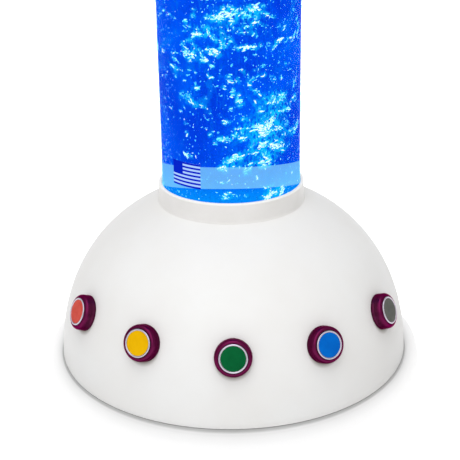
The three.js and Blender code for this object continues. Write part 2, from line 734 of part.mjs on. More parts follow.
function airPump() {
  const shell = moved(
    block(PUMP_LENGTH, PUMP_DEPTH, PUMP_HEIGHT, PUMP_CORNER, PUMP_EDGE, 3),
    0,
    -EQUIPMENT_PLACE,
    PUMP_CASE_LOW,
  );
  const feet = [-1, 1].flatMap((sx) =>
    [-1, 1].map((sy) =>
      moved(
        disc(PUMP_FOOT_RADIUS, FLOOR_LEVEL, PUMP_CASE_LOW + PUMP_EDGE, HOSE_SIDES),
        sx * (PUMP_LENGTH / 2 - PUMP_FOOT_INSET),
        sy * (PUMP_DEPTH / 2 - PUMP_FOOT_INSET) - EQUIPMENT_PLACE,
        0,
      ),
    ),
  );
  const nozzle = turned(
    [
      point(0, -ROOT),
      point(NOZZLE_ROOT, -ROOT),
      point(NOZZLE_ROOT, NOZZLE_LENGTH / 3),
      point(NOZZLE_TIP, NOZZLE_LENGTH / 2),
      point(NOZZLE_TIP, NOZZLE_LENGTH),
      point(0, NOZZLE_LENGTH),
    ],
    HOSE_SIDES,
  );
  const aimed = moved(nozzle.rotate([-90, 0, 0]), 0, NOZZLE_FACE, NOZZLE_HEIGHT);
  return joined([shell, ...feet, aimed]);
}

// One-way valve that lies in the air line
function checkValve() {
  const half = VALVE_LENGTH / 2;
  const shape = turned(
    [
      point(0, -half),
      point(AIRLINE_RADIUS, -half),
      point(AIRLINE_RADIUS, VALVE_NECK_LENGTH - half),
      point(VALVE_RADIUS, VALVE_NECK_LENGTH - half + BARB_NECK),
      point(VALVE_RADIUS, half - VALVE_NECK_LENGTH - BARB_NECK),
      point(AIRLINE_RADIUS, half - VALVE_NECK_LENGTH),
      point(AIRLINE_RADIUS, half),
      point(0, half),
    ],
    PIPE_SIDES,
  );
  return moved(shape.rotate([-90, 0, 0]), 0, -VALVE_PLACE, VALVE_HEIGHT);
}

// A length of air line in the pump's turned frame, between two (distance, height) ends
function airline(start, end, shares, steps) {
  const between = (share, i) => start[i] + (end[i] - start[i]) * share;
  const route = [start, ...shares.map(([way, rise]) => [between(way, 0), between(rise, 1)]), end];
  return swept(route.map(([y, z]) => new THREE.Vector3(0, y, z)), AIRLINE_RADIUS, HOSE_SIDES, steps);
}

// Air line from the pump to the valve, and from the valve up to the inlet under the tube
function airlineLower() {
  const start = [NOZZLE_END + SEAT_GAP, NOZZLE_HEIGHT];
  const end = [-VALVE_PLACE - VALVE_LENGTH / 2 - SEAT_GAP, VALVE_HEIGHT];
  return airline(start, end, AIRLINE_LOWER_SHARES, 10);
}

function airlineUpper() {
  const start = [-VALVE_PLACE + VALVE_LENGTH / 2 + SEAT_GAP, VALVE_HEIGHT];
  const end = [0, FITTING_TAIL - SEAT_GAP];
  return airline(start, end, AIRLINE_UPPER_SHARES, 12);
}

// Drain hose from its fitting to the panel at the back, bored at its end for the plug
function drainHose() {
  const x = -PORT_SPACING / 2;
  const end = PLUG_SEAT - SEAT_GAP;
  const top = FITTING_TAIL - SEAT_GAP;
  const low = FLOOR_LEVEL + DRAIN_HOSE_RADIUS + SEAT_GAP;
  const route = [
    [0, DRAIN_PLACE, top],
    ...DRAIN_SHARES.map(([aside, back, height]) => [
      x * aside,
      DRAIN_PLACE + (PANEL_BACK - DRAIN_PLACE) * back,
      low + (top - low) * height,
    ]),
    [x, PANEL_BACK - DRAIN_STRAIGHT, PORT_HEIGHT],
    [x, PANEL_BACK, PORT_HEIGHT],
    [x, end, PORT_HEIGHT],
  ];
  const hose = swept(route.map((p) => new THREE.Vector3(...p)), DRAIN_HOSE_RADIUS, HOSE_SIDES, 16);
  const bore = disc(PLUG_STEM + SLIDE_GAP, 0, PLUG_STEM_LENGTH + SEAT_GAP + OVERRUN, PIPE_SIDES);
  return hose.subtract(moved(bore.rotate([-90, 0, 0]), x, end - PLUG_STEM_LENGTH - SEAT_GAP, PORT_HEIGHT));
}

// Plug in the end of the drain hose, pulled out backwards
function drainPlug() {
  const shape = turned(
    [
      point(0, -PLUG_STEM_LENGTH),
      point(PLUG_STEM, -PLUG_STEM_LENGTH),
      point(PLUG_STEM, 0),
      point(PLUG_HEAD, 0),
      point(PLUG_HEAD, PLUG_HEAD_HEIGHT - PLUG_EDGE),
      point(PLUG_HEAD - PLUG_EDGE, PLUG_HEAD_HEIGHT),
      point(0, PLUG_HEAD_HEIGHT),
    ],
    PIPE_SIDES,
  );
  return moved(shape.rotate([-90, 0, 0]), -PORT_SPACING / 2, PLUG_SEAT, PORT_HEIGHT);
}

// Power inlet: a round jack with a centre pin, through the panel
function powerInlet() {
  const mouth = INLET_FLANGE_HEIGHT;
  const pocket = mouth - INLET_BORE_DEPTH;
  const shape = turned(
    [
      point(0, mouth - INLET_LENGTH),
      point(INLET_BARREL, mouth - INLET_LENGTH),
      point(INLET_BARREL, 0),
      point(INLET_FLANGE, 0),
      point(INLET_FLANGE, mouth),
      point(INLET_BORE, mouth),
      point(INLET_BORE, pocket),
      point(INLET_PIN, pocket),
      point(INLET_PIN, mouth - INLET_PIN_SHORT),
      point(0, mouth - INLET_PIN_SHORT),
    ],
    PIPE_SIDES,
  );
  return moved(shape.rotate([-90, 0, 0]), PORT_SPACING / 2, PANEL_FACE + SEAT_GAP, PORT_HEIGHT);
}

// Socket panel: a plate with three side walls that follow the inside of the dome round the notch
function socketPanel() {
  const halfRecess = NOTCH_WIDTH / 2 + RECESS_MARGIN;
  const recessTop = NOTCH_HEIGHT + RECESS_MARGIN;
  const whole = box(
    [-halfRecess - PANEL_WALL, PANEL_BACK, FLOOR_LEVEL],
    [halfRecess + PANEL_WALL, DOME_RADIUS, recessTop + PANEL_WALL],
  );
  const recess = box([-halfRecess, PANEL_FACE, 0], [halfRecess, DOME_RADIUS + OVERRUN, recessTop]);
  const portHole = (radius, x) =>
    moved(
      disc(radius + SEAT_GAP, 0, 2 * OVERRUN + PANEL_WALL, PIPE_SIDES).rotate([-90, 0, 0]),
      x,
      PANEL_BACK - OVERRUN,
      PORT_HEIGHT,
    );
  const holes = [
    portHole(DRAIN_HOSE_RADIUS, -PORT_SPACING / 2),
    portHole(INLET_BARREL, PORT_SPACING / 2),
  ];
  return cut(whole.intersect(domeInside(DOME_WALL + SEAT_GAP)), [recess, ...holes]);
}

// Control box with an overhanging lid
function controlBox() {
  const tray = block(CONTROL_LENGTH, CONTROL_DEPTH, CONTROL_HEIGHT, CONTROL_CORNER);
  const lid = block(
    CONTROL_LENGTH + 2 * CONTROL_LID_OVERHANG,
    CONTROL_DEPTH + 2 * CONTROL_LID_OVERHANG,
    CONTROL_LID,
    CONTROL_CORNER + CONTROL_LID_OVERHANG,
  );
  return moved(
    joined([tray, moved(lid, 0, 0, CONTROL_HEIGHT - CONTROL_LID / 2)]),
    0,
    -EQUIPMENT_PLACE,
    FLOOR_LEVEL,
  );
}

// Heights in a button's own frame, along its axis
const BEZEL_SEAT = highestOnDomes(SHANK_HOLE, 0) + SEAT_GAP;
const CAP_UNDERSIDE = BEZEL_HEIGHT + BUTTON_CAP_RISE - BUTTON_CAP_THICKNESS;
const NUT_CORNER = NUT_FLATS / 2 / Math.cos(Math.PI / NUT_SIDES);
const NUT_TOP = lowestOnDomes(NUT_CORNER, DOME_WALL) - FACET_SAG - SEAT_GAP;
const SWITCH_TOP = -SHANK_LENGTH - SEAT_GAP;
const SWITCH_END = SWITCH_TOP - SWITCH_LENGTH;

// Bezel: an upright wall, a convex shoulder and an open mouth, on a hollow shank
function buttonBezel() {
  const mouth = BUTTON_CAP_RADIUS + SLIDE_GAP;
  const rim = mouth + BEZEL_RIM;
  return turned(
    [
      point(SHANK_BORE, -SHANK_LENGTH),
      point(SHANK_RADIUS, -SHANK_LENGTH),
      point(SHANK_RADIUS, BEZEL_SEAT),
      point(BEZEL_RADIUS, BEZEL_SEAT),
      ...arc(rim, BEZEL_SHOULDER, BEZEL_RADIUS - rim, BEZEL_HEIGHT - BEZEL_SHOULDER, 0, 90, 4),
      point(mouth, BEZEL_HEIGHT),
      point(mouth, BEZEL_FLOOR),
      point(SHANK_BORE, BEZEL_FLOOR),
    ],
    BUTTON_SIDES,
  );
}

// Button cap: a chamfered head with a recess for the disc, on a stem that slides in the shank
function buttonCap() {
  const top = BEZEL_HEIGHT + BUTTON_CAP_RISE;
  const stem = SHANK_BORE - SLIDE_GAP;
  const recess = BUTTON_CAP_RADIUS - BUTTON_RING;
  return turned(
    [
      point(0, -BUTTON_STEM_DEPTH),
      point(stem, -BUTTON_STEM_DEPTH),
      point(stem, CAP_UNDERSIDE),
      point(BUTTON_CAP_RADIUS, CAP_UNDERSIDE),
      point(BUTTON_CAP_RADIUS, top - BUTTON_CAP_CHAMFER),
      point(BUTTON_CAP_RADIUS - BUTTON_CAP_CHAMFER, top),
      point(recess, top),
      point(recess, top - INSERT_RECESS),
      point(0, top - INSERT_RECESS),
    ],
    BUTTON_SIDES,
  );
}

// Coloured disc in the cap's recess
function buttonInsert() {
  const top = BEZEL_HEIGHT + BUTTON_CAP_RISE;
  return disc(
    BUTTON_CAP_RADIUS - BUTTON_RING - SEAT_GAP,
    top - INSERT_RECESS + SEAT_GAP,
    top - SLIDE_GAP,
    BUTTON_SIDES,
  );
}

// Hexagonal nut that clamps the bezel from inside the dome
function buttonNut() {
  const hexagon = disc(NUT_CORNER, NUT_TOP - NUT_HEIGHT, NUT_TOP, NUT_SIDES);
  return hexagon.subtract(disc(SHANK_HOLE, NUT_TOP - NUT_HEIGHT - OVERRUN, NUT_TOP + OVERRUN, BUTTON_SIDES));
}

// Switch on the end of the shank, with a nose that the stem presses and two terminals
function buttonSwitch() {
  const body = moved(
    block(SWITCH_SIDE, SWITCH_SIDE, SWITCH_LENGTH, SWITCH_CORNER, 0, 1),
    0,
    0,
    SWITCH_END,
  );
  const noseTop = -BUTTON_STEM_DEPTH - BUTTON_TRAVEL - SWITCH_NOSE_GAP;
  const nose = disc(SWITCH_NOSE, SWITCH_TOP - ROOT, noseTop, 8);
  const terminals = [-1, 1].map((side) => {
    const x = (side * TERMINAL_SPACING) / 2;
    return box(
      [x - TERMINAL_THICKNESS / 2, -TERMINAL_WIDTH / 2, SWITCH_END - TERMINAL_LENGTH],
      [x + TERMINAL_THICKNESS / 2, TERMINAL_WIDTH / 2, SWITCH_END + ROOT],
    );
  });
  return joined([body, nose, ...terminals]);
}

// Return spring round the stem: one unbroken wire
function returnSpring() {
  const low = BEZEL_FLOOR + SEAT_GAP + SPRING_WIRE;
  const high = CAP_UNDERSIDE - SEAT_GAP - SPRING_WIRE;
  const stepsPerTurn = 8;
  const sides = 5;
  const steps = SPRING_TURNS * stepsPerTurn;
  const positions = [];
  const centres = [];
  for (let i = 0; i <= steps; i++) {
    const turn = (2 * Math.PI * i) / stepsPerTurn;
    const z = low + ((high - low) * i) / steps;
    centres.push([SPRING_RADIUS * Math.cos(turn), SPRING_RADIUS * Math.sin(turn), z]);
    for (let k = 0; k < sides; k++) {
      const angle = (2 * Math.PI * k) / sides;
      const r = SPRING_RADIUS + SPRING_WIRE * Math.cos(angle);
      positions.push(r * Math.cos(turn), r * Math.sin(turn), z + SPRING_WIRE * Math.sin(angle));
    }
  }
  positions.push(...centres[0], ...centres[steps]);
  const faces = [];
  const startCentre = (steps + 1) * sides;
  const endCentre = startCentre + 1;
  for (let k = 0; k < sides; k++) {
    const next = (k + 1) % sides;
    for (let i = 0; i < steps; i++) {
      const a = i * sides;
      const b = a + sides;
      faces.push(a + k, b + k, a + next, a + next, b + k, b + next);
    }
    faces.push(startCentre, k, next);
    faces.push(endCentre, steps * sides + next, steps * sides + k);
  }
  const geometry = new THREE.BufferGeometry();
  geometry.setAttribute("position", new THREE.Float32BufferAttribute(positions, 3));
  geometry.setIndex(faces);
  return solid(geometry);
}
const springRoom = CAP_UNDERSIDE - BEZEL_FLOOR - 2 * (SEAT_GAP + SPRING_WIRE);
const springPitch = springRoom / SPRING_TURNS;
console.log("least gap between a spring's turns: " + (springPitch - 2 * SPRING_WIRE).toFixed(2) + " mm");

// Wiring loom: a trunk round the front of the base plate, a lead to each switch, to the light and to the inlet
function wireHarness() {
  const low = FLOOR_LEVEL + LOOM_LIFT;
  const along = (turn) => new THREE.Vector3(Math.cos(radians(turn)), Math.sin(radians(turn)), 0);
  const pumpMiddle = place(PUMP_TURN, EQUIPMENT_PLACE, PUMP_CASE_LOW + PUMP_HEIGHT / 2);
  const pumpFace = pumpMiddle.addScaledVector(along(PUMP_TURN), PUMP_LENGTH / 2 + SEAT_GAP);
  const boxMiddle = place(CONTROL_TURN, EQUIPMENT_PLACE, FLOOR_LEVEL + CONTROL_HEIGHT / 3);
  const boxFace = boxMiddle.addScaledVector(along(CONTROL_TURN), -CONTROL_LENGTH / 2 - SEAT_GAP);
  const trunk = swept(
    [
      pumpFace,
      pumpFace.clone().addScaledVector(along(PUMP_TURN), LOOM_TAIL),
      ...LOOM_TURNS.map((turn) => place(turn, EQUIPMENT_PLACE, low)),
      boxFace.clone().addScaledVector(along(CONTROL_TURN), -LOOM_TAIL),
      boxFace,
    ],
    LOOM_RADIUS,
    6,
    28,
  );
  const switchLeads = buttonFrames.map((frame, i) => {
    const turn = BUTTONS[i].step * BUTTON_SPACING;
    const out = UP.clone().transformDirection(frame.matrixWorld);
    const start = new THREE.Vector3(0, 0, SWITCH_END - SEAT_GAP).applyMatrix4(frame.matrixWorld);
    const route = [
      start,
      start.clone().addScaledVector(out, -TERMINAL_LENGTH),
      ...SWITCH_LEAD_SHARES.map(([swing, height]) =>
        place(turn, EQUIPMENT_PLACE - SWITCH_LEAD_SWING * swing, low + (start.z - low) * height),
      ),
      place(turn, EQUIPMENT_PLACE, low),
    ];
    return swept(route, LEAD_RADIUS, 5, 7);
  });
  const branch = place(LOOM_TURNS[LOOM_TURNS.length - 1], EQUIPMENT_PLACE, low);
  const ribFoot = SPREADER_FOOT - SPREADER_RIB_HEIGHT;
  const inwards = EQUIPMENT_PLACE - LIGHT_LEAD_PLACE;
  const upwards = ribFoot - low;
  const lightLead = swept(
    [
      branch,
      ...LIGHT_LEAD_SHARES.map(([turn, way, height]) =>
        place(turn, EQUIPMENT_PLACE - inwards * way, low + upwards * height),
      ),
      place(LIGHT_LEAD_TURN, LIGHT_LEAD_PLACE, ribFoot),
      place(LIGHT_LEAD_TURN, LIGHT_LEAD_PLACE, SPREADER_FOOT - SEAT_GAP),
    ],
    LEAD_RADIUS,
    5,
    11,
  );
  const x = PORT_SPACING / 2;
  const inletRear = PANEL_FACE + SEAT_GAP + INLET_FLANGE_HEIGHT - INLET_LENGTH;
  const inletLead = swept(
    [
      branch,
      ...INLET_LEAD_SHARES.map(([turn, way, height]) =>
        place(turn, EQUIPMENT_PLACE * way, low + (PORT_HEIGHT - low) * height),
      ),
      new THREE.Vector3(x, inletRear - INLET_LENGTH / 2, PORT_HEIGHT),
      new THREE.Vector3(x, inletRear - SEAT_GAP, PORT_HEIGHT),
    ],
    LEAD_RADIUS,
    5,
    13,
  );
  return joined([trunk, ...switchLeads, lightLead, inletLead]);
}

// Assembly: shell and tube
addPiece(lamp, "dome_shell", domeShell(), WHITE_SHELL);
addPiece(lamp, "tube_collar", tubeCollar(), WHITE_COLLAR);
addPiece(lamp, "collar_lock_ring", collarLockRing(), WHITE_COLLAR);
addPiece(lamp, "bubble_tube", ring(TUBE_BORE, TUBE_RADIUS, TUBE_FOOT, TUBE_TOP, TUBE_SIDES), CLEAR_ACRYLIC);
addPiece(lamp, "tube_floor", tubeFloor(), CLEAR_ACRYLIC);
addPiece(lamp, "top_cap", topCap(), WHITE_COLLAR);

// Assembly: base plate, feet, socket and posts
addPiece(lamp, "base_plate", basePlate(), GREY_PLASTIC);
FOOT_TURNS.forEach((turn, i) => {
  const foot = addPiece(lamp, "rubber_foot_" + (i + 1), rubberFoot(), BLACK_RUBBER);
  foot.position.copy(place(turn, FOOT_PLACE, 0));
});
addPiece(lamp, "tube_socket", tubeSocket(), GREY_PLASTIC);
POST_TURNS.forEach((turn, i) => {
  const height = SOCKET_LIFT - SEAT_GAP - FLOOR_LEVEL;
  const post = addPiece(lamp, "socket_post_" + (i + 1), disc(POST_RADIUS, 0, height, PIPE_SIDES), ALUMINIUM);
  post.position.copy(place(turn, POST_PLACE, FLOOR_LEVEL));
});

// Assembly: light, air and drain
addPiece(lamp, "heat_spreader", heatSpreader(), ALUMINIUM);
addPiece(lamp, "led_board", ledBoard(), BOARD_GREEN);
addPiece(lamp, "air_inlet", barbedFitting(), WHITE_COLLAR);
addPiece(lamp, "air_diffuser", airDiffuser(), WHITE_COLLAR);
addPiece(lamp, "drain_fitting", barbedFitting(), WHITE_COLLAR).position.y = DRAIN_PLACE;
const pumpSide = turnedGroup(PUMP_TURN);
addPiece(pumpSide, "air_pump", airPump(), BLACK_PLASTIC);
addPiece(pumpSide, "airline_lower", airlineLower(), CLEAR_HOSE);
addPiece(pumpSide, "check_valve", checkValve(), GREY_PLASTIC);
addPiece(pumpSide, "airline_upper", airlineUpper(), CLEAR_HOSE);
addPiece(lamp, "drain_hose", drainHose(), CLEAR_HOSE);
addPiece(lamp, "drain_plug", drainPlug(), BLACK_RUBBER);

// Assembly: electrics at the back
addPiece(turnedGroup(CONTROL_TURN), "control_box", controlBox(), BLACK_PLASTIC);
addPiece(lamp, "socket_panel", socketPanel(), GREY_PLASTIC);
addPiece(lamp, "power_inlet", powerInlet(), BLACK_PLASTIC);
addPiece(lamp, "wire_harness", wireHarness(), BLACK_PLASTIC);

// Assembly: five push buttons
BUTTONS.forEach(({ name, colour }, i) => {
  const frame = buttonFrames[i];
  addPiece(frame, name + "_bezel", buttonBezel(), PURPLE_ANODISED);
  addPiece(frame, name + "_button_cap", buttonCap(), ALUMINIUM);
  addPiece(frame, name + "_insert", buttonInsert(), material(colour, 0.35, 0));
  addPiece(frame, name + "_spring", returnSpring(), STEEL);
  addPiece(frame, name + "_nut", buttonNut(), STEEL);
  addPiece(frame, name + "_switch", buttonSwitch(), BLACK_PLASTIC);
});

export default lamp;
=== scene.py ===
import math
import random

import bpy
import numpy as np
from mathutils import Matrix, Vector


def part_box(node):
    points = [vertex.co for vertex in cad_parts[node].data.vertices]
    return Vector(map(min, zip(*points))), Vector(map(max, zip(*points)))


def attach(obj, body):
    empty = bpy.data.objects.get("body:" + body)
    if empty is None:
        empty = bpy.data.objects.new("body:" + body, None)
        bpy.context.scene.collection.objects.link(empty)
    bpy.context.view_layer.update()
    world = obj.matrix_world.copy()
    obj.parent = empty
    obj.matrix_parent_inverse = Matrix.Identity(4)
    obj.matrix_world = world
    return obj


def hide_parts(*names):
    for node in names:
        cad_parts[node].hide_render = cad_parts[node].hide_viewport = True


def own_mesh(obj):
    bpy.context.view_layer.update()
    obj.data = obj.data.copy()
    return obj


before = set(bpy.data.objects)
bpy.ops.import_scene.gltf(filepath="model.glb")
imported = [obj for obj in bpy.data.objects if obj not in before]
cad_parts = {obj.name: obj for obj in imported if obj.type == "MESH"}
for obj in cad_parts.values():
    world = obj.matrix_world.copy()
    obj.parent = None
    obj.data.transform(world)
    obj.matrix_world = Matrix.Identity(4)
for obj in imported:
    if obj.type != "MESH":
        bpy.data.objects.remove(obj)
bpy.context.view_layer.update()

# Sizes in metres
MM = 0.001
DOME_RADIUS = 198 * MM
DOME_CREST = 200.8 * MM
DOME_SINK = 10.6 * MM
DOME_POWER = 2.195
DOME_WALL = 4 * MM
RIM_LIFT = 0.6 * MM
RIM_ROUND = 1.2 * MM
RIM_BEND = 0.35 * MM
NECK_HOLE = 80.6 * MM
TUBE_RADIUS = 76.2 * MM
TUBE_BORE = 73 * MM
TUBE_EDGE = 0.5 * MM
WATER_RADIUS = 75.5 * MM
WATER_LOW = 112 * MM
WATER_TOP = 1150 * MM
COLLAR_BORE = 76.7 * MM
COLLAR_RADIUS = 80.3 * MM
COLLAR_RISE = 21.9 * MM
COLLAR_FLARE = 1.2 * MM
COLLAR_EDGE = 1.6 * MM
COLLAR_INNER_EDGE = 0.8 * MM
COLLAR_SPIGOT = 28 * MM
COLLAR_STRAIGHT = 9 * MM
COLLAR_HEM = 0.1 * MM
GAP = 0.3 * MM

# Button sizes in millimetres, out from the button's own axis or up along it
BEZEL_RADIUS = 19.3
BEZEL_SEAT = 0.8
BEZEL_WALL = 2.4
BEZEL_STEP = 0.22
BEZEL_SHOULDER = 6.5
BEZEL_HEIGHT = 11.0
BEZEL_RIM = 15.6
BEZEL_BORE = 15.0
BEZEL_FLOOR = 2.0
STEM_HOLE = 9.0
STEM_RADIUS = 8.8
STEM_FOOT = -12.0
SHANK_RADIUS = 15.0
SHANK_LENGTH = 22.0
CAP_RADIUS = 14.7
CAP_UNDERSIDE = 8.0
CAP_TOP = 12.1
CAP_RING = 1.9
CAP_EDGE = 0.8
DISC_RADIUS = 12.65
SPRING_RADIUS = 12
SPRING_WIRE = 0.5
SPRING_TURNS = 3
SPRING_STEPS = 32
WIRE_SIDES = 10
SPRING_LOW = 2.3
SPRING_HIGH = 7.7
BUTTON_SPACING = 30

# Buttons: colour, step round the dome, height in millimetres
BUTTONS = [
    ("red", -2, 80.4), ("yellow", -1, 79.2), ("green", 0, 75.4), ("blue", 1, 75.4), ("grey", 2, 77.65),
]

# Camera: place in metres, angles in degrees
LENS = 85.54
CAMERA_PLACE = (0.00398, -1.13995, 0.60835)
CAMERA_TURN = 0.31
CAMERA_DIP = 22.47
CAMERA_ROLL = -0.9


def dome_radius_at(z):
    return DOME_RADIUS * (1 - ((z + DOME_SINK) / DOME_CREST) ** DOME_POWER) ** (1 / DOME_POWER)


def dome_height_at(r):
    return DOME_CREST * (1 - (r / DOME_RADIUS) ** DOME_POWER) ** (1 / DOME_POWER) - DOME_SINK


def dome_tilt_at(z):
    """The way that the dome's outside faces at a height, in radians up from level."""
    across = (dome_radius_at(z) / DOME_RADIUS) ** (DOME_POWER - 1) / DOME_RADIUS
    up = ((z + DOME_SINK) / DOME_CREST) ** (DOME_POWER - 1) / DOME_CREST
    return math.atan2(up, across)


crown = dome_height_at(NECK_HOLE)
collar_top = crown + COLLAR_RISE


# Modelling helpers
def rotation(degrees, axis):
    return Matrix.Rotation(math.radians(degrees), 4, axis)


def button_matrix(step, height):
    """The place of a button, whose axis stands square to the dome."""
    z = height * MM
    lean = Matrix.Rotation(math.pi / 2 - dome_tilt_at(z), 4, "X")
    return rotation(step * BUTTON_SPACING, "Z") @ Matrix.Translation((0, -dome_radius_at(z), z)) @ lean


def into_scene(name, data):
    made = bpy.data.objects.new(name, data)
    bpy.context.scene.collection.objects.link(made)
    return made


def remove(*pieces):
    for piece in pieces:
        bpy.data.objects.remove(piece, do_unlink=True)


def deselect():
    bpy.ops.object.select_all(action="DESELECT")


def edit(piece):
    """Enters edit mode with everything selected."""
    bpy.context.view_layer.objects.active = piece
    bpy.ops.object.mode_set(mode="EDIT")
    bpy.ops.mesh.select_mode(type="VERT")
    bpy.ops.mesh.select_all(action="SELECT")


def settle(piece, angle=35):
    """Leaves edit mode, puts the piece's place in its mesh and smooths its curved faces."""
    if piece.mode == "EDIT":
        bpy.ops.mesh.select_all(action="SELECT")
        bpy.ops.mesh.normals_make_consistent(inside=False)
        bpy.ops.object.mode_set(mode="OBJECT")
    deselect()
    piece.select_set(True)
    bpy.context.view_layer.objects.active = piece
    bpy.ops.object.transform_apply(location=True, rotation=True, scale=True)
    bpy.ops.object.shade_smooth_by_angle(angle=math.radians(angle))
    deselect()
    return piece


def modify(piece, kind, **settings):
    """Gives a piece a modifier and applies it."""
    deselect()
    bpy.context.view_layer.objects.active = piece
    modifier = piece.modifiers.new(kind.lower(), kind)
    for key, value in settings.items():
        setattr(modifier, key, value)
    bpy.ops.object.modifier_apply(modifier=modifier.name)


def turned(name, profile, segments, hollow=False):
    """A ring of the first point's radius, extruded and scaled from point to point of the profile."""
    deselect()
    fill = "NOTHING" if hollow else "NGON"
    bpy.ops.mesh.primitive_circle_add(vertices=segments, radius=profile[0][0], fill_type=fill)
    piece = bpy.context.active_object
    piece.name = name
    edit(piece)
    bpy.ops.transform.translate(value=(0, 0, profile[0][1]))
    for (before, low), (radius, high) in zip(profile, profile[1:]):
        bpy.ops.mesh.extrude_edges_move(TRANSFORM_OT_translate={"value": (0, 0, high - low)})
        share = radius / before
        bpy.ops.transform.resize(value=(share, share, 1), center_override=(0, 0, high))
    if hollow:
        bpy.ops.mesh.select_all(action="DESELECT")
        bpy.ops.mesh.select_non_manifold()
        bpy.ops.mesh.bridge_edge_loops()
    else:
        bpy.ops.mesh.edge_face_add()
    return settle(piece)


def arc(r, z, radius_r, radius_z, start, end, steps):
    """Profile points on an ellipse's arc, angles in degrees from the outward direction."""
    angles = [math.radians(start + (end - start) * i / steps) for i in range(steps + 1)]
    return [(r + radius_r * math.cos(a), z + radius_z * math.sin(a)) for a in angles]


def scaled(profile):
    """A profile written in millimetres, in metres."""
    return [(r * MM, z * MM) for r, z in profile]


def placed(piece, matrix):
    """Moves a finished piece by a matrix, with the place kept in its mesh."""
    piece.data.transform(matrix)
    piece.data.update()
    return piece


def copied(piece, name, matrix):
    return placed(into_scene(name, piece.data.copy()), matrix)


# Camera, at the photograph's height and angle
camera_data = bpy.data.cameras.new("camera")
camera_data.sensor_width = 36
camera_data.lens = LENS
camera_data.clip_start = 0.01
camera_data.clip_end = 100
camera = into_scene("camera", camera_data)
view = rotation(CAMERA_TURN, "Z") @ rotation(90 - CAMERA_DIP, "X") @ rotation(CAMERA_ROLL, "Z")
camera.rotation_euler = view.to_euler()
camera.location = CAMERA_PLACE
bpy.context.scene.camera = camera
bpy.context.scene.view_settings.view_transform = "Standard"


# Node helpers
def feed(tree, made, inputs):
    """Links the sockets and sets the values given for a node's inputs."""
    for label, value in dict(inputs).items():
        if isinstance(value, bpy.types.NodeSocket):
            tree.links.new(value, made.inputs[label])
        else:
            made.inputs[label].default_value = value
    return made


def node(tree, kind, inputs=(), **settings):
    made = tree.nodes.new(kind)
    for key, value in settings.items():
        setattr(made, key, value)
    return feed(tree, made, inputs).outputs


def object_place(tree):
    return node(tree, "ShaderNodeTexCoord")["Object"]


def axes(tree, vector):
    return node(tree, "ShaderNodeSeparateXYZ", {"Vector": vector})


def attribute(tree, name):
    return node(tree, "ShaderNodeAttribute", attribute_name=name)


def maths(tree, operation, *values):
    return node(tree, "ShaderNodeMath", enumerate(values), operation=operation)["Value"]


def blend(tree, share, low, high):
    """The colour between two colours."""
    return node(tree, "ShaderNodeMix", {0: share, 6: low, 7: high}, data_type="RGBA")[2]


def spread(tree, value, low, high, to_low=0.0, to_high=1.0, way="LINEAR"):
    """One range of a value laid out over another, and held at its ends."""
    inputs = {"Value": value, "From Min": low, "From Max": high, "To Min": to_low, "To Max": to_high}
    return node(tree, "ShaderNodeMapRange", inputs, interpolation_type=way)["Result"]


def noise(tree, place, scale, detail, roughness=0.5, distortion=0.0):
    inputs = {
        "Vector": place, "Scale": scale, "Detail": detail, "Roughness": roughness, "Distortion": distortion,
    }
    return node(tree, "ShaderNodeTexNoise", inputs)["Fac"]


def stretched(tree, place, upright):
    return node(tree, "ShaderNodeMapping", {"Vector": place, "Scale": (1, 1, upright)})["Vector"]


def colour_ramp(tree, value, stops):
    """Colours at given places of a value from 0 to 1."""
    made = tree.nodes.new("ShaderNodeValToRGB")
    elements = made.color_ramp.elements
    elements[0].position, elements[0].color = stops[0]
    elements[1].position, elements[1].color = stops[-1]
    for position, tone in stops[1:-1]:
        elements.new(position).color = tone
    return feed(tree, made, {"Fac": value}).outputs["Color"]


def bump(tree, shader, height, depth):
    made = node(tree, "ShaderNodeBump", {"Strength": depth, "Distance": MM, "Height": height})
    feed(tree, shader, {"Normal": made["Normal"]})


def seen_share(tree):
    """1 where the camera looks directly, by reflection or through glass, and else 0."""
    path = node(tree, "ShaderNodeLightPath")
    direct = maths(tree, "MAXIMUM", path["Is Camera Ray"], path["Is Glossy Ray"])
    return maths(tree, "MAXIMUM", direct, path["Is Transmission Ray"])


# Materials
def colour(*screen):
    """A colour written as on a screen, as linear light."""
    shares = [value / 255 for value in screen]
    return tuple(s / 12.92 if s <= 0.04045 else ((s + 0.055) / 1.055) ** 2.4 for s in shares) + (1,)


def grey(share):
    return (share, share, share, 1)


COLOUR = "NodeSocketColor"
VALUE = "NodeSocketFloat"
WAVINESS = 0.3


def new_group(name, inputs, outputs):
    tree = bpy.data.node_groups.new(name, "ShaderNodeTree")
    for label, kind, value in inputs:
        tree.interface.new_socket(label, in_out="INPUT", socket_type=kind).default_value = value
    for label, kind in outputs:
        tree.interface.new_socket(label, in_out="OUTPUT", socket_type=kind)
    return tree, tree.nodes.new("NodeGroupInput").outputs, tree.nodes.new("NodeGroupOutput")


def group(tree, shared, inputs):
    return node(tree, "ShaderNodeGroup", inputs, node_tree=shared)


def make_mottle():
    """Two tones that drift into each other, and a roughness that follows them."""
    inputs = [("Tone", COLOUR, grey(1)), ("Shade", COLOUR, grey(1)), ("Scale", VALUE, 20.0)]
    inputs += [("Smooth", VALUE, 0.3), ("Rough", VALUE, 0.4)]
    tree, given, out = new_group("mottle", inputs, [("Color", COLOUR), ("Roughness", VALUE)])
    drift = noise(tree, object_place(tree), given["Scale"], 4.0, roughness=0.6)
    tone = blend(tree, spread(tree, drift, 0.35, 0.65), given["Tone"], given["Shade"])
    rough = spread(tree, drift, 0.3, 0.7, given["Smooth"], given["Rough"])
    feed(tree, out, {"Color": tone, "Roughness": rough})
    return tree


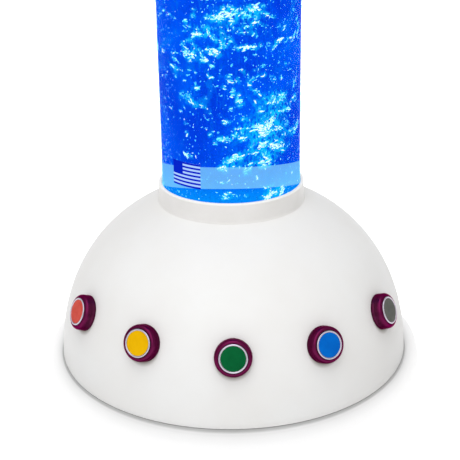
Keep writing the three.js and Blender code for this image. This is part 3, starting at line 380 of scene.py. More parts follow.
def make_grain():
    """Height of a fine moulded grain on a slow wave."""
    tree, given, out = new_group("grain", [("Scale", VALUE, 1600.0)], [("Height", VALUE)])
    place = object_place(tree)
    fine = noise(tree, place, given["Scale"], 2.0)
    slow = noise(tree, place, 60.0, 1.0)
    mix = node(tree, "ShaderNodeMix", {0: WAVINESS, 2: fine, 3: slow}, data_type="FLOAT")
    feed(tree, out, {"Height": mix[0]})
    return tree


def make_lathe_marks():
    """The fine rings that a turning tool leaves, from the piece's own attribute."""
    tree, given, out = new_group("lathe_marks", [("Pitch", VALUE, 6000.0)], [("Marks", VALUE)])
    own = axes(tree, attribute(tree, "turned_place")["Vector"])
    along = maths(tree, "ADD", own["X"], own["Y"])
    inputs = {"W": along, "Scale": given["Pitch"], "Detail": 3.0}
    rings = node(tree, "ShaderNodeTexNoise", inputs, noise_dimensions="1D")
    feed(tree, out, {"Marks": rings["Fac"]})
    return tree


MOTTLE = make_mottle()
GRAIN = make_grain()
LATHE_MARKS = make_lathe_marks()


def parts_of(material):
    return material.node_tree, material.node_tree.nodes["Principled BSDF"]


def new_material(name):
    made = bpy.data.materials.new(name)
    made.use_nodes = True
    return (made,) + parts_of(made)


def moulded(name, tone, shade, smooth, rough, patch=18.0, grain=1600.0, depth=0.04, metallic=0, gloss=0.5):
    """Plastic, rubber or plated metal: two near tones, uneven gloss and a fine grain."""
    made, tree, shader = new_material(name)
    inputs = {"Tone": colour(*tone), "Shade": colour(*shade), "Scale": patch}
    mottle = group(tree, MOTTLE, {**inputs, "Smooth": smooth, "Rough": rough})
    bump(tree, shader, group(tree, GRAIN, {"Scale": grain})["Height"], depth)
    feed(tree, shader, {"Base Color": mottle["Color"], "Roughness": mottle["Roughness"]})
    feed(tree, shader, {"Metallic": metallic, "Specular IOR Level": gloss})
    return made


def machined(name, rough, pitch, depth):
    """Metal off a lathe, with rings that follow the piece. Its colour is fed in afterwards."""
    made, tree, shader = new_material(name)
    marks = group(tree, LATHE_MARKS, {"Pitch": pitch})["Marks"]
    bump(tree, shader, marks, depth)
    feed(tree, shader, {"Metallic": 1.0, "Roughness": rough})
    return made, tree, shader, marks


def glowing(name, base=(0, 0.01, 0.05, 1), rough=0.4):
    """A material that shines by itself. Its Emission Color is fed in afterwards."""
    made, tree, shader = new_material(name)
    feed(tree, shader, {"Base Color": base, "Roughness": rough})
    feed(tree, shader, {"Specular IOR Level": 0.0, "Emission Strength": 1.0})
    return made, tree, shader


collar_white = moulded("collar_white", (232, 230, 227), (227, 225, 221), 0.36, 0.46, patch=25.0)
grey_plastic = moulded("grey_plastic", (141, 144, 147), (128, 131, 134), 0.5, 0.62)
black_plastic = moulded("black_plastic", (30, 31, 33), (22, 23, 25), 0.45, 0.6)
black_rubber = moulded("black_rubber", (26, 26, 26), (36, 35, 34), 0.7, 0.9, patch=60.0, depth=0.12)
clear_hose = moulded("clear_hose", (206, 214, 217), (190, 200, 205), 0.25, 0.4, patch=80.0)
board_green = moulded("board_green", (31, 91, 53), (24, 78, 44), 0.35, 0.5, patch=70.0)
steel = moulded("steel", (196, 198, 201), (172, 174, 178), 0.25, 0.4, patch=90.0, metallic=1)
cast_aluminium = moulded(
    "cast_aluminium", (205, 207, 210), (184, 186, 190), 0.3, 0.45, patch=70.0, metallic=1
)

DISC_COLOURS = {
    "red": ((214, 82, 68), (203, 70, 58)),
    "yellow": ((238, 184, 4), (228, 174, 0)),
    "green": ((2, 96, 50), (0, 86, 44)),
    "blue": ((0, 108, 206), (0, 98, 194)),
    "grey": ((98, 100, 94), (88, 90, 84)),
}
disc_materials = {
    name: moulded("disc_" + name, tone, shade, 0.3, 0.45, patch=70.0, grain=2600.0, gloss=0.04)
    for name, (tone, shade) in DISC_COLOURS.items()
}

# Painted shade under each bezel: its drop below the bezel, its reach and its colour
SHADE_BELOW = 5 * MM
SHADE_REACH = 5.5 * MM
BEZEL_SHADE = colour(158, 153, 144)


def make_shell():
    """The dome's white plastic, with a painted contact shadow under each bezel."""
    made = moulded(
        "shell_white", (240, 240, 239), (237, 236, 234), 0.42, 0.52, patch=9.0, depth=0.03, gloss=0.15
    )
    tree, shader = parts_of(made)
    plastic = shader.inputs["Base Color"].links[0].from_socket
    place = object_place(tree)
    nearest = None
    for _, step, height in BUTTONS:
        spot = button_matrix(step, height) @ Vector((0, -SHADE_BELOW, 0))
        away = node(tree, "ShaderNodeVectorMath", {0: place, 1: spot}, operation="DISTANCE")["Value"]
        nearest = maths(tree, "MINIMUM", nearest, away) if nearest else away
    # Painted shade: the plastic darkens towards the shade colour just under each bezel, where its contact
    # shadow falls
    edge = BEZEL_RADIUS * MM - SHADE_BELOW
    unshaded = spread(tree, nearest, edge, edge + SHADE_REACH)
    feed(tree, shader, {"Base Color": blend(tree, unshaded, BEZEL_SHADE, plastic)})
    return made


def make_silver_ring():
    """Bright turned metal, darker in the tool marks."""
    made, tree, shader, marks = machined("silver_ring", rough=0.24, pitch=6000.0, depth=0.12)
    tone = blend(tree, marks, colour(142, 135, 148), colour(190, 184, 194))
    feed(tree, shader, {"Base Color": tone})
    return made


# Heights where the painted shade of the wall turns into the painted highlight of the shoulder
SHOULDER_START = 4.5 * MM
SHOULDER_END = 8.5 * MM


def make_purple_anodised():
    """Dyed aluminium, with painted shade and highlight: dark plum on the straight wall, magenta where the
    shoulder turns over.
    """
    made, tree, shader, marks = machined("purple_anodised", rough=0.3, pitch=2500.0, depth=0.2)
    up = axes(tree, attribute(tree, "turned_place")["Vector"])["Y"]
    # Painted light: the wall and the shoulder are a shaded and a lit copy of the same dyed metal, blended
    # by height
    share = spread(tree, up, SHOULDER_START, SHOULDER_END, way="SMOOTHSTEP")
    shaded_wall = blend(tree, marks, colour(60, 18, 40), colour(88, 30, 60))
    lit_shoulder = blend(tree, marks, colour(66, 12, 42), colour(92, 22, 60))
    tone = blend(tree, share, shaded_wall, lit_shoulder)
    feed(tree, shader, {"Base Color": tone, "Specular Tint": (0.72, 0.34, 0.5, 1)})
    return made


ACRYLIC_IOR = 1.49
WET_ALPHA = 0.07
DRY_ALPHA = 0.9


def make_acrylic():
    """Clear tube: faint where the water behind it takes away its inner reflections."""
    made, tree, shader = new_material("clear_acrylic")
    place = object_place(tree)
    smears = spread(tree, noise(tree, place, 14.0, 3.0), 0.4, 0.7, 0.0, 0.03)
    height = axes(tree, place)["Z"]
    share = spread(tree, height, WATER_TOP, WATER_TOP + MM, WET_ALPHA, DRY_ALPHA)
    tint = blend(tree, share, grey(1), colour(206, 230, 244))
    feed(tree, shader, {"Roughness": smears, "Alpha": share, "Base Color": tint})
    feed(tree, shader, {"Transmission Weight": 1.0, "IOR": ACRYLIC_IOR})
    feed(tree, shader, {"Specular Tint": (0, 0.02, 0.2, 1)})
    return made


WATER_DEEP = colour(2, 58, 226)
WATER_MID = colour(0, 86, 250)
WATER_AZURE = colour(4, 148, 255)
WATER_HALO = colour(14, 190, 255)
CLOUD_COVER = 0.7
STREAK_COVER = 0.28
LAMP_GLOW_COVER = 0.85
LAMP_GLOW_TOP = 235 * MM
LAMP_GLOW_FOOT = 196 * MM


def make_water():
    """Lit water: deep and mid blue patches, fine upright streaks, azure low down, cyan at the bubbles."""
    made, tree, shader = glowing("lit_water")
    place = object_place(tree)
    patches = spread(tree, noise(tree, place, 16.0, 3.0, distortion=0.6), 0.38, 0.6)
    clouds = noise(tree, place, 38.0, 4.0, roughness=0.65, distortion=0.8)
    clouds = spread(tree, clouds, 0.54, 0.76, 0, CLOUD_COVER)
    streaks = noise(tree, stretched(tree, place, 0.22), 420.0, 2.0)
    streaks = spread(tree, streaks, 0.55, 0.78, 0, STREAK_COVER)
    height = axes(tree, place)["Z"]
    low = spread(tree, height, LAMP_GLOW_TOP, LAMP_GLOW_FOOT, 0, LAMP_GLOW_COVER, way="SMOOTHSTEP")
    dim = attribute(tree, "dim")["Fac"]
    flecks = spread(tree, noise(tree, stretched(tree, place, 0.7), 380.0, 4.0), 0.36, 0.64, 0.3, 1.4)
    halo = spread(tree, maths(tree, "MULTIPLY", attribute(tree, "glow")["Fac"], flecks), 0.27, 1.2)
    tone = blend(tree, patches, WATER_DEEP, WATER_MID)
    over = [(clouds, WATER_AZURE), (streaks, WATER_AZURE), (low, WATER_AZURE), (dim, WATER_DEEP)]
    for share, paint in over + [(halo, WATER_HALO)]:
        tone = blend(tree, share, tone, paint)
    grain = spread(tree, noise(tree, place, 620.0, 2.0), 0.3, 0.7, 0.8, 1.12)
    tone = node(tree, "ShaderNodeVectorMath", {0: tone, "Scale": grain}, operation="SCALE")["Vector"]
    feed(tree, shader, {"Emission Color": tone})
    return made


def make_bubble():
    """Bubbles: cyan where faint, white where the lamps shine through."""
    made, tree, shader = glowing("lit_bubble", base=(0.1, 0.3, 0.4, 1), rough=0.5)
    flecks = spread(tree, noise(tree, object_place(tree), 900.0, 2.0), 0.35, 0.65, 0.55, 1.6)
    lit = maths(tree, "MULTIPLY", attribute(tree, "glow")["Fac"], flecks)
    stops = [(0, colour(4, 146, 255)), (0.35, colour(8, 194, 255))]
    stops += [(0.7, colour(92, 236, 255)), (1, colour(255, 255, 255))]
    feed(tree, shader, {"Emission Color": colour_ramp(tree, lit, stops)})
    return made


FILM_ALPHA = 0.26


def make_label_film():
    """Clear film on the tube, lit from behind."""
    made, tree, shader = glowing("label_film")
    cloud = noise(tree, object_place(tree), 60.0, 2.0)
    tone = blend(tree, cloud, colour(140, 232, 255), colour(158, 244, 255))
    feed(tree, shader, {"Emission Color": tone, "Alpha": FILM_ALPHA})
    return made


STRIPES = 6.5
BLOCK_RIGHT = 0.4
BLOCK_FOOT = 0.46


def make_striped_patch():
    """Level stripes, with a plain block in the upper left corner."""
    made, tree, shader = glowing("striped_patch")
    place = axes(tree, node(tree, "ShaderNodeTexCoord")["UV"])
    phase = maths(tree, "FRACT", maths(tree, "MULTIPLY", place["Y"], STRIPES))
    stripe = maths(tree, "LESS_THAN", phase, 0.5)
    left = maths(tree, "LESS_THAN", place["X"], BLOCK_RIGHT)
    high = maths(tree, "GREATER_THAN", place["Y"], BLOCK_FOOT)
    inked = maths(tree, "MAXIMUM", stripe, maths(tree, "MULTIPLY", left, high))
    tone = blend(tree, inked, colour(176, 208, 255), colour(8, 26, 196))
    feed(tree, shader, {"Emission Color": tone})
    return made


LIP_LOW = 2.4 * MM
LIP_HIGH = 0.6 * MM


def make_collar():
    """The collar's plastic, with a painted glow on its inner lip, as if lit through by the water."""
    made = moulded("collar_lit_lip", (232, 230, 228), (227, 225, 222), 0.36, 0.46, patch=25.0)
    tree, shader = parts_of(made)
    # Painted glow: the opaque lip shines by emission near its top edge
    lip = spread(tree, axes(tree, object_place(tree))["Z"], collar_top - LIP_LOW, collar_top - LIP_HIGH)
    glow = blend(tree, lip, grey(0), (0.16, 0.17, 0.18, 1))
    feed(tree, shader, {"Emission Color": glow, "Emission Strength": 1.0})
    return made


shell_white = make_shell()
silver_ring = make_silver_ring()
purple_anodised = make_purple_anodised()
clear_acrylic = make_acrylic()
lit_water = make_water()
lit_bubble = make_bubble()
label_film = make_label_film()
striped_patch = make_striped_patch()
collar_lit_lip = make_collar()


def dress(piece, material, body, slot, *nodes):
    """Gives a piece its material and the body that carries it, and hides the CAD nodes that it stands for.
    """
    piece.data.materials.clear()
    piece.data.materials.append(material)
    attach(piece, body)
    if nodes:
        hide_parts(*nodes)
    return piece


# Dome: a smooth moulded shell with the notch for the sockets at the back
DOME_SEGMENTS = 192
RING_SEGMENTS = 144
SMALL_SEGMENTS = 48
NOTCH_HALF = 31.6 * MM
NOTCH_HEIGHT = 42 * MM
NOTCH_DEPTH = 120 * MM
NOTCH_PLACE = 200 * MM
NOTCH_CORNER = 9 * MM


def dome_curve(inset, low, steps):
    """The dome's curve from a height up to the neck, inwards from the outside by an inset."""
    across, up = DOME_RADIUS - inset, DOME_CREST - inset
    start = math.asin(((low + DOME_SINK) / up) ** (DOME_POWER / 2))
    end = math.pi / 2 - math.asin((NECK_HOLE / across) ** (DOME_POWER / 2))
    angles = [start + (end - start) * i / steps for i in range(steps + 1)]
    share = 2 / DOME_POWER
    return [(across * math.cos(a) ** share, up * math.sin(a) ** share - DOME_SINK) for a in angles]


outside = dome_curve(0.0, RIM_LIFT + RIM_ROUND, 36)
inside = dome_curve(DOME_WALL, RIM_LIFT + RIM_ROUND, 18)
rim_inner = inside[0][0]
rim_outer = dome_radius_at(RIM_LIFT)
rim = [
    (rim_inner + RIM_BEND, RIM_LIFT + RIM_BEND), (rim_inner + RIM_ROUND, RIM_LIFT),
    (rim_outer - RIM_ROUND, RIM_LIFT), (rim_outer - RIM_BEND, RIM_LIFT + RIM_BEND),
]
dome_skin = turned("dome_skin", rim + outside + inside[::-1], DOME_SEGMENTS, hollow=True)

deselect()
bpy.ops.mesh.primitive_cube_add(size=1)
notch = bpy.context.active_object
edit(notch)
bpy.ops.transform.resize(value=(2 * NOTCH_HALF, NOTCH_DEPTH, 2 * NOTCH_HEIGHT))
bpy.ops.transform.translate(value=(0, NOTCH_PLACE, 0))
settle(notch)
modify(notch, "BEVEL", width=NOTCH_CORNER, segments=8, limit_method="ANGLE")
modify(dome_skin, "BOOLEAN", operation="DIFFERENCE", object=notch)
remove(notch)
settle(dome_skin, 30)
dress(dome_skin, shell_white, "base", "shell_white", "dome_shell")

# Collar round the tube's foot
flare_end = COLLAR_RADIUS + COLLAR_FLARE
hem_foot = dome_height_at(flare_end) + COLLAR_HEM
hem_top = hem_foot + 0.25 * MM
hem_radius = flare_end + COLLAR_HEM
flare_top = crown + COLLAR_FLARE + 1 * MM
edge, inner_edge = COLLAR_EDGE, COLLAR_INNER_EDGE
collar_profile = [
    (COLLAR_BORE, crown - COLLAR_SPIGOT), (COLLAR_RADIUS, crown - COLLAR_SPIGOT),
    (COLLAR_RADIUS, crown + GAP), (NECK_HOLE, crown + GAP), (flare_end, hem_foot), (hem_radius, hem_top),
]
collar_profile += arc(hem_radius, flare_top, COLLAR_FLARE, flare_top - hem_top - COLLAR_HEM, 268, 182, 9)
collar_profile += [(COLLAR_RADIUS, crown + COLLAR_STRAIGHT)]
collar_profile += arc(COLLAR_RADIUS - edge, collar_top - edge, edge, edge, 0, 90, 6)
collar_profile += arc(COLLAR_BORE + inner_edge, collar_top - inner_edge, inner_edge, inner_edge, 90, 180, 4)
collar_ring = turned("collar_ring", collar_profile, RING_SEGMENTS, hollow=True)
dress(collar_ring, collar_lit_lip, "base", "collar_white", "tube_collar")

# Clear tube
tube_low, tube_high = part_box("bubble_tube")
low, high, edge = tube_low.z, tube_high.z, TUBE_EDGE
tube_profile = [
    (TUBE_BORE + edge, low), (TUBE_RADIUS - edge, low), (TUBE_RADIUS, low + edge),
    (TUBE_RADIUS, high - edge), (TUBE_RADIUS - edge, high), (TUBE_BORE + edge, high),
    (TUBE_BORE, high - edge), (TUBE_BORE, low + edge),
]
clear_tube = turned("clear_tube", tube_profile, RING_SEGMENTS, hollow=True)
dress(clear_tube, clear_acrylic, "base", "clear_acrylic", "bubble_tube")

# Drifts of bubbles, in degrees and millimetres: turn, height, length, thickness, slope, density
DRIFTS = [
    (-2, 402, 8, 4, 0, 3), (19, 400, 13, 7, -10, 4), (27, 402, 5, 2, 0, 2), (-3, 398, 4, 2, 10, 2),
    (5, 399, 12, 4, 15, 3), (11, 396, 9, 3, 25, 3), (-5, 395, 17, 6, 15, 4), (2, 394, 12, 7, 5, 4),
    (-10, 392, 21, 4, 0, 2), (-16, 392, 5, 2, 0, 2), (-8, 389, 6, 3, 0, 2), (-27, 399, 6, 2, 0, 2),
    (-28, 393, 5, 3, 0, 3), (-35, 387, 4, 3, 0, 3), (-47, 389, 12, 2, -15, 1), (-53, 392, 5, 2, 0, 1),
    (-59, 393, 4, 2, 0, 1), (17, 393, 13, 4, 0, 2), (28, 394, 9, 3, -10, 3), (35, 390, 8, 3, -10, 2),
    (12, 391, 7, 2, 0, 1), (21, 392, 6, 3, 80, 2), (3, 387, 4, 3, 80, 3), (20, 386, 9, 4, 15, 3),
    (11, 386, 6, 3, 0, 1), (14, 383, 7, 2, 0, 2), (27, 383, 10, 2, 0, 1), (31, 380, 7, 2, -15, 1),
    (40, 379, 9, 3, 20, 1), (47, 377, 8, 3, 30, 2), (57, 390, 10, 3, 30, 1), (66, 382, 10, 3, 30, 1),
    (69, 376, 6, 6, 60, 1), (-33, 382, 10, 3, 0, 1), (-35, 377, 10, 2, 10, 1), (-25, 381, 7, 3, -30, 2),
    (-20, 384, 4, 2, 40, 1), (-17, 381, 4, 3, 80, 2), (-16, 378, 6, 2, -80, 2), (-12, 381, 7, 3, 0, 1),
    (0, 380, 7, 3, -75, 2), (3, 382, 4, 2, -20, 1), (-6, 383, 3, 2, 0, 1), (-5, 377, 4, 3, -10, 2),
    (7, 380, 4, 3, 60, 1), (12, 377, 10, 3, 0, 2), (19, 376, 4, 3, 70, 2), (21, 373, 4, 3, 60, 1),
    (-23, 375, 12, 4, 0, 4), (-29, 371, 7, 3, 40, 2), (-34, 367, 9, 2, 15, 2), (-13, 374, 10, 4, -40, 2),
    (-8, 370, 9, 3, -10, 2), (-2, 372, 8, 4, 0, 1), (1, 369, 5, 3, 0, 2), (-5, 366, 8, 3, -20, 2),
    (-2, 367, 4, 2, 0, 1), (-7, 362, 5, 2, 0, 2), (-4, 363, 4, 2, 0, 1), (-37, 362, 5, 2, -30, 2),
    (-39, 363, 4, 2, 0, 1), (13, 362, 16, 4, 3, 5), (20, 360, 6, 2, 0, 1), (4, 362, 6, 2, 75, 2),
    (25, 363, 4, 3, 80, 2), (30, 362, 6, 2, 80, 1), (32, 363, 4, 2, 80, 1), (42, 365, 14, 3, 15, 3),
    (52, 364, 13, 3, 10, 2), (61, 365, 15, 3, 45, 2), (69, 368, 14, 3, 50, 2), (38, 361, 5, 2, 30, 2),
    (36, 357, 4, 2, 40, 2), (-33, 355, 14, 6, 5, 3), (-32, 350, 12, 8, 30, 2), (-28, 358, 5, 4, 60, 2),
    (-23, 359, 8, 3, -60, 1), (-27, 364, 5, 3, -40, 1), (-12, 358, 15, 6, -15, 4), (-9, 354, 3, 3, 80, 1),
    (-20, 351, 7, 6, -30, 2), (-20, 349, 7, 2, 0, 3), (-64, 350, 6, 3, 0, 3), (-47, 353, 9, 3, 0, 1),
    (-47, 346, 11, 3, -20, 2), (-49, 338, 14, 3, -15, 3), (-42, 336, 6, 2, 0, 2), (-32, 338, 4, 2, 0, 2),
    (-27, 336, 3, 2, 0, 2), (-13, 344, 4, 3, 0, 3), (10, 340, 5, 3, 0, 3), (13, 352, 6, 3, 70, 1),
    (20, 354, 2, 2, 0, 2), (49, 340, 8, 2, -30, 2), (2, 345, 3, 2, 70, 1), (27, 342, 6, 9, 0, 1),
    (55, 332, 5, 2, 0, 1), (20, 339, 7, 3, 0, 1), (-34, 332, 4, 2, 0, 1), (-46, 329, 4, 3, 60, 1),
    (-17, 336, 8, 2, -65, 2), (-14, 332, 4, 2, 0, 3), (-37, 326, 4, 2, 0, 2), (-26, 320, 7, 3, 20, 3),
    (-27, 324, 3, 2, 80, 1), (0, 335, 3, 3, 0, 1), (-1, 333, 3, 2, 0, 2), (2, 328, 8, 3, -15, 2),
    (6, 330, 6, 4, 60, 2), (-4, 323, 4, 5, 0, 3), (3, 320, 3, 2, 0, 2), (2, 315, 5, 4, 10, 3),
    (7, 315, 2, 2, 0, 2), (-9, 324, 2, 2, 0, 1), (-7, 314, 3, 2, 0, 1), (27, 332, 6, 2, 5, 3),
    (19, 330, 11, 4, 25, 2), (15, 324, 4, 4, 20, 3), (13, 334, 4, 6, 40, 1), (37, 326, 5, 4, 60, 2),
    (44, 326, 3, 4, 70, 3), (34, 330, 5, 3, 0, 1), (63, 316, 13, 3, 55, 2), (20, 317, 8, 4, -10, 2),
    (26, 310, 9, 2, -40, 2), (37, 303, 18, 4, 0, 2), (41, 305, 22, 13, 0, 1), (36, 308, 8, 4, 0, 2),
    (48, 308, 9, 4, 0, 1), (50, 291, 16, 6, 0, 2), (44, 292, 6, 3, 0, 3), (60, 300, 16, 2, 25, 3),
    (64, 298, 7, 3, 55, 2), (-64, 301, 6, 2, 0, 2), (-37, 310, 14, 9, -10, 1), (-32, 306, 8, 4, -60, 2),
    (-29, 303, 6, 3, -20, 2), (-22, 302, 11, 3, -10, 3), (-19, 310, 3, 2, 0, 1), (-54, 293, 7, 2, -10, 2),
    (-42, 293, 4, 2, 0, 2), (-39, 298, 3, 2, 0, 1), (8, 308, 7, 4, 25, 3), (6, 310, 4, 2, 80, 2),
    (8, 303, 7, 2, 15, 2), (20, 305, 4, 2, -50, 2), (1, 301, 3, 3, 0, 2), (24, 295, 6, 3, 0, 3),
    (23, 299, 2, 2, 0, 1), (34, 292, 4, 4, 45, 2), (11, 289, 7, 3, 20, 3), (-3, 286, 9, 4, 0, 3),
    (-38, 282, 7, 3, -50, 2), (-59, 279, 3, 2, 0, 1), (-20, 292, 3, 2, 80, 1), (-15, 295, 3, 2, 80, 1),
    (-17, 288, 2, 2, 0, 1), (-22, 279, 3, 2, 80, 1), (7, 279, 10, 3, 5, 3), (14, 279, 4, 3, 0, 2),
    (22, 277, 18, 10, 0, 5), (31, 280, 20, 10, 30, 5), (36, 287, 9, 4, 50, 3), (40, 274, 11, 5, 0, 4),
    (29, 271, 17, 5, 10, 4), (50, 276, 7, 8, 60, 1), (69, 269, 8, 9, 60, 2), (54, 266, 25, 3, 5, 2),
    (64, 264, 12, 2, 20, 3), (62, 261, 7, 2, 0, 2), (-36, 269, 4, 3, 40, 2), (-16, 272, 3, 2, 0, 3),
    (-13, 276, 2, 2, 0, 1), (-9, 275, 2, 2, 0, 1), (4, 274, 3, 2, 0, 1), (9, 274, 3, 3, 50, 1),
    (-37, 272, 3, 2, 80, 1), (-4, 268, 16, 4, 3, 5), (-12, 263, 3, 2, 10, 3), (10, 268, 9, 4, 10, 3),
    (3, 272, 3, 2, 0, 2), (27, 260, 14, 7, 0, 4), (18, 262, 9, 3, 60, 1), (15, 257, 4, 3, 60, 2),
    (40, 255, 19, 8, -10, 4), (46, 248, 7, 3, -20, 3), (53, 250, 7, 3, 30, 1), (21, 251, 7, 4, 0, 3),
    (27, 249, 6, 6, 50, 2), (15, 252, 3, 2, 0, 2), (28, 241, 12, 11, 0, 3), (31, 238, 5, 4, 60, 2),
    (23, 240, 4, 4, 50, 1), (26, 236, 5, 3, 0, 2), (32, 245, 6, 4, 70, 1), (-37, 247, 8, 4, -35, 3),
    (-31, 248, 8, 7, 0, 1), (4, 248, 19, 5, 25, 5), (-1, 245, 10, 4, 15, 3), (4, 246, 6, 3, 0, 2),
    (-7, 237, 10, 3, 20, 5), (2, 238, 6, 3, 10, 3), (9, 238, 8, 3, 10, 1), (16, 241, 4, 2, 15, 3),
    (13, 233, 11, 8, 40, 1), (15, 235, 5, 2, 40, 2), (12, 230, 5, 2, 30, 1), (-4, 233, 4, 6, -50, 2),
    (-2, 222, 3, 3, 70, 2), (-7, 221, 3, 2, 0, 2), (21, 224, 4, 2, -75, 3), (59, 217, 7, 4, 80, 1),
    (29, 211, 6, 3, -20, 2), (34, 203, 15, 7, 20, 5), (45, 204, 12, 7, 50, 4), (27, 201, 6, 2, -10, 3),
    (34, 213, 10, 3, 10, 1), (-4, 206, 6, 7, -30, 2), (-4, 205, 2, 2, 0, 3), (2, 206, 8, 3, 0, 1),
    (12, 206, 4, 2, 0, 2), (-2, 209, 5, 3, 30, 1), (-48, 203, 5, 2, 0, 1), (-62, 200, 4, 1, 0, 1),
    (-11, 210, 2, 1, 0, 1), (-7, 203, 5, 2, 0, 1),
]
# The heights in mm and the turn, either way, that the photograph shows
SEEN_LOW, SEEN_HIGH, SEEN_TURN = 196, 408, 84
SEEN_MARGIN = 4
FURTHER_COUNT = 430
FURTHER_LOW, FURTHER_HIGH = 132, 1142
SEED = 11
chance = random.Random(SEED)


def further_drifts():
    """Drifts of the same kind for what the photograph doesn't show."""
    found = []
    while len(found) < FURTHER_COUNT:
        turn_at, height = chance.uniform(-180, 180), chance.uniform(FURTHER_LOW, FURTHER_HIGH)
        if abs(turn_at) < SEEN_TURN and SEEN_LOW - SEEN_MARGIN < height < SEEN_HIGH + SEEN_MARGIN:
            continue
        length = chance.choice([4, 6, 9, 12, 18, 28, 38])
        thickness = max(2.0, length * chance.uniform(0.2, 0.5))
        slope, density = chance.gauss(2, 16), chance.choice([1, 1, 2, 2, 3])
        found.append((turn_at, height, length, thickness, slope, density))
    return found


BUBBLE_FLAT = 0.6
BUBBLE_DEPTH = 0.3
BUBBLE_SHELL = 75.75


def bubble_shape():
    """One bubble: a sphere of few faces, turned and flattened, as points and faces."""
    deselect()
    bpy.ops.mesh.primitive_ico_sphere_add(subdivisions=1, radius=1)
    ball = bpy.context.active_object
    edit(ball)
    bpy.ops.transform.rotate(value=0.35, orient_axis="Y", center_override=(0, 0, 0))
    bpy.ops.transform.resize(value=(1, BUBBLE_FLAT, 1), center_override=(0, 0, 0))
    bpy.ops.object.mode_set(mode="OBJECT")
    points = np.array([v.co for v in ball.data.vertices], float)
    faces = np.array([p.vertices for p in ball.data.polygons], int)
    remove(ball)
    return points, faces


BUBBLE_POINTS, BUBBLE_FACES = bubble_shape()
BUBBLE_WIDTHS = [0.5, 0.8, 1.2, 1.7, 2.4, 3.2]
BUBBLE_LEAST = 0.36
BUBBLE_BEND = 0.5
UPRIGHT_SHARE = 0.14
LEAN_SPREAD = 17
GLOW_SPREAD = 0.28
GLOW_MOST = 0.84


def bubbles_of(drift):
    """The bubbles of one drift: turn, height, width, thickness, slope and glow of each."""
    turn_at, height, length, thickness, slope, density = drift
    count = max(3, round((0.115 + 0.045 * density) * length * thickness))
    wave = chance.uniform(0, 6.3)
    tilt = math.radians(slope)
    mean_glow = min(GLOW_MOST, 0.2 + 0.19 * density)
    made = []
    for _ in range(count):
        along = max(-1, min(1, chance.gauss(0, 0.5))) if density > 2 else chance.uniform(-1, 1)
        across = chance.gauss(0, 0.3) * (1 - 0.7 * along * along)
        dx = along * length / 2
        dz = across * thickness + 0.12 * thickness * math.sin(wave + 4 * along)
        x = dx * math.cos(tilt) - dz * math.sin(tilt)
        z = dx * math.sin(tilt) + dz * math.cos(tilt)
        width = chance.choice(BUBBLE_WIDTHS) * (0.62 + 0.12 * density)
        tall = max(BUBBLE_LEAST, width * chance.uniform(0.14, 0.32))
        if chance.random() < UPRIGHT_SHARE:
            width, tall = chance.uniform(0.3, 0.5), chance.uniform(0.7, 2.0)
        glow = min(1, max(0, chance.gauss(mean_glow, GLOW_SPREAD)))
        lean = slope + chance.gauss(0, LEAN_SPREAD)
        made.append((turn_at + math.degrees(x / BUBBLE_SHELL), height + z, width, tall, lean, glow))
    return made


def specks(count, low, high):
    """Loose small bubbles between the drifts."""
    return [
        (
            chance.uniform(-180, 180), chance.uniform(low, high),
            chance.choice([0.3, 0.4, 0.55, 0.8]), chance.choice([0.3, 0.45, 0.8, 1.2]),
            chance.gauss(0, 30), chance.choice([0, 0, 0.05, 0.1, 0.2, 0.4, 0.7]),
        )
        for _ in range(count)
    ]


def keep_values(mesh, name, values):
    mesh.attributes.new(name, "FLOAT", "POINT").data.foreach_set("value", values)


def swarm(name, bubbles):
    """All given bubbles as one piece on the water, with the glow of each as an attribute."""
    points, faces, glows = [], [], []
    for i, (turn_at, height, width, thickness, slope, glow) in enumerate(bubbles):
        turn = rotation(turn_at, "Z").to_3x3()
        spin = turn @ rotation(-slope, "Y").to_3x3()
        shape = BUBBLE_POINTS * np.array([width, BUBBLE_DEPTH / BUBBLE_FLAT, thickness])
        bend = BUBBLE_BEND * math.sin(37 * turn_at + 11 * height)
        shape[:, 2] += bend * width * (BUBBLE_POINTS[:, 0] ** 2 - 0.35)
        centre = turn @ Vector((0, -BUBBLE_SHELL, 0))
        centre.z = height
        points.append(shape @ np.array(spin.transposed()) + np.array(centre))
        faces.append(BUBBLE_FACES + i * len(BUBBLE_POINTS))
        glows.append(np.full(len(BUBBLE_POINTS), glow))
    mesh = bpy.data.meshes.new(name)
    mesh.from_pydata((np.concatenate(points) * MM).tolist(), [], np.concatenate(faces).tolist())
    keep_values(mesh, "glow", np.concatenate(glows))
    mesh.shade_smooth()
    piece = into_scene(name, mesh)
    piece.visible_diffuse = False
    dress(piece, lit_bubble, "base", "clear_acrylic")


all_drifts = DRIFTS + further_drifts()
seen_bubbles = [b for drift in DRIFTS for b in bubbles_of(drift)]
other_bubbles = [b for drift in all_drifts[len(DRIFTS):] for b in bubbles_of(drift)]
FRONT_LOW, FRONT_HIGH, MIDDLE, HIGHEST = 190, 420, 640, 1140
swarm("bubbles_front", seen_bubbles + specks(1900, FRONT_LOW, FRONT_HIGH))
swarm("bubbles_round", [b for b in other_bubbles if b[1] < MIDDLE] + specks(2400, FRONT_HIGH, MIDDLE))
swarm("bubbles_high", [b for b in other_bubbles if b[1] >= MIDDLE] + specks(3600, MIDDLE, HIGHEST))

# Water column: a sleeve that carries the glow round each drift
WATER_TURNS = 192
FINE_ROW = 2.2 * MM
COARSE_ROW = 5 * MM
water_rows = [WATER_LOW]
while water_rows[-1] < WATER_TOP:
    row = FINE_ROW if SEEN_LOW * MM < water_rows[-1] < SEEN_HIGH * MM else COARSE_ROW
    water_rows.append(water_rows[-1] + row)
water_column = turned("water_column", [(WATER_RADIUS, height) for height in water_rows], WATER_TURNS)

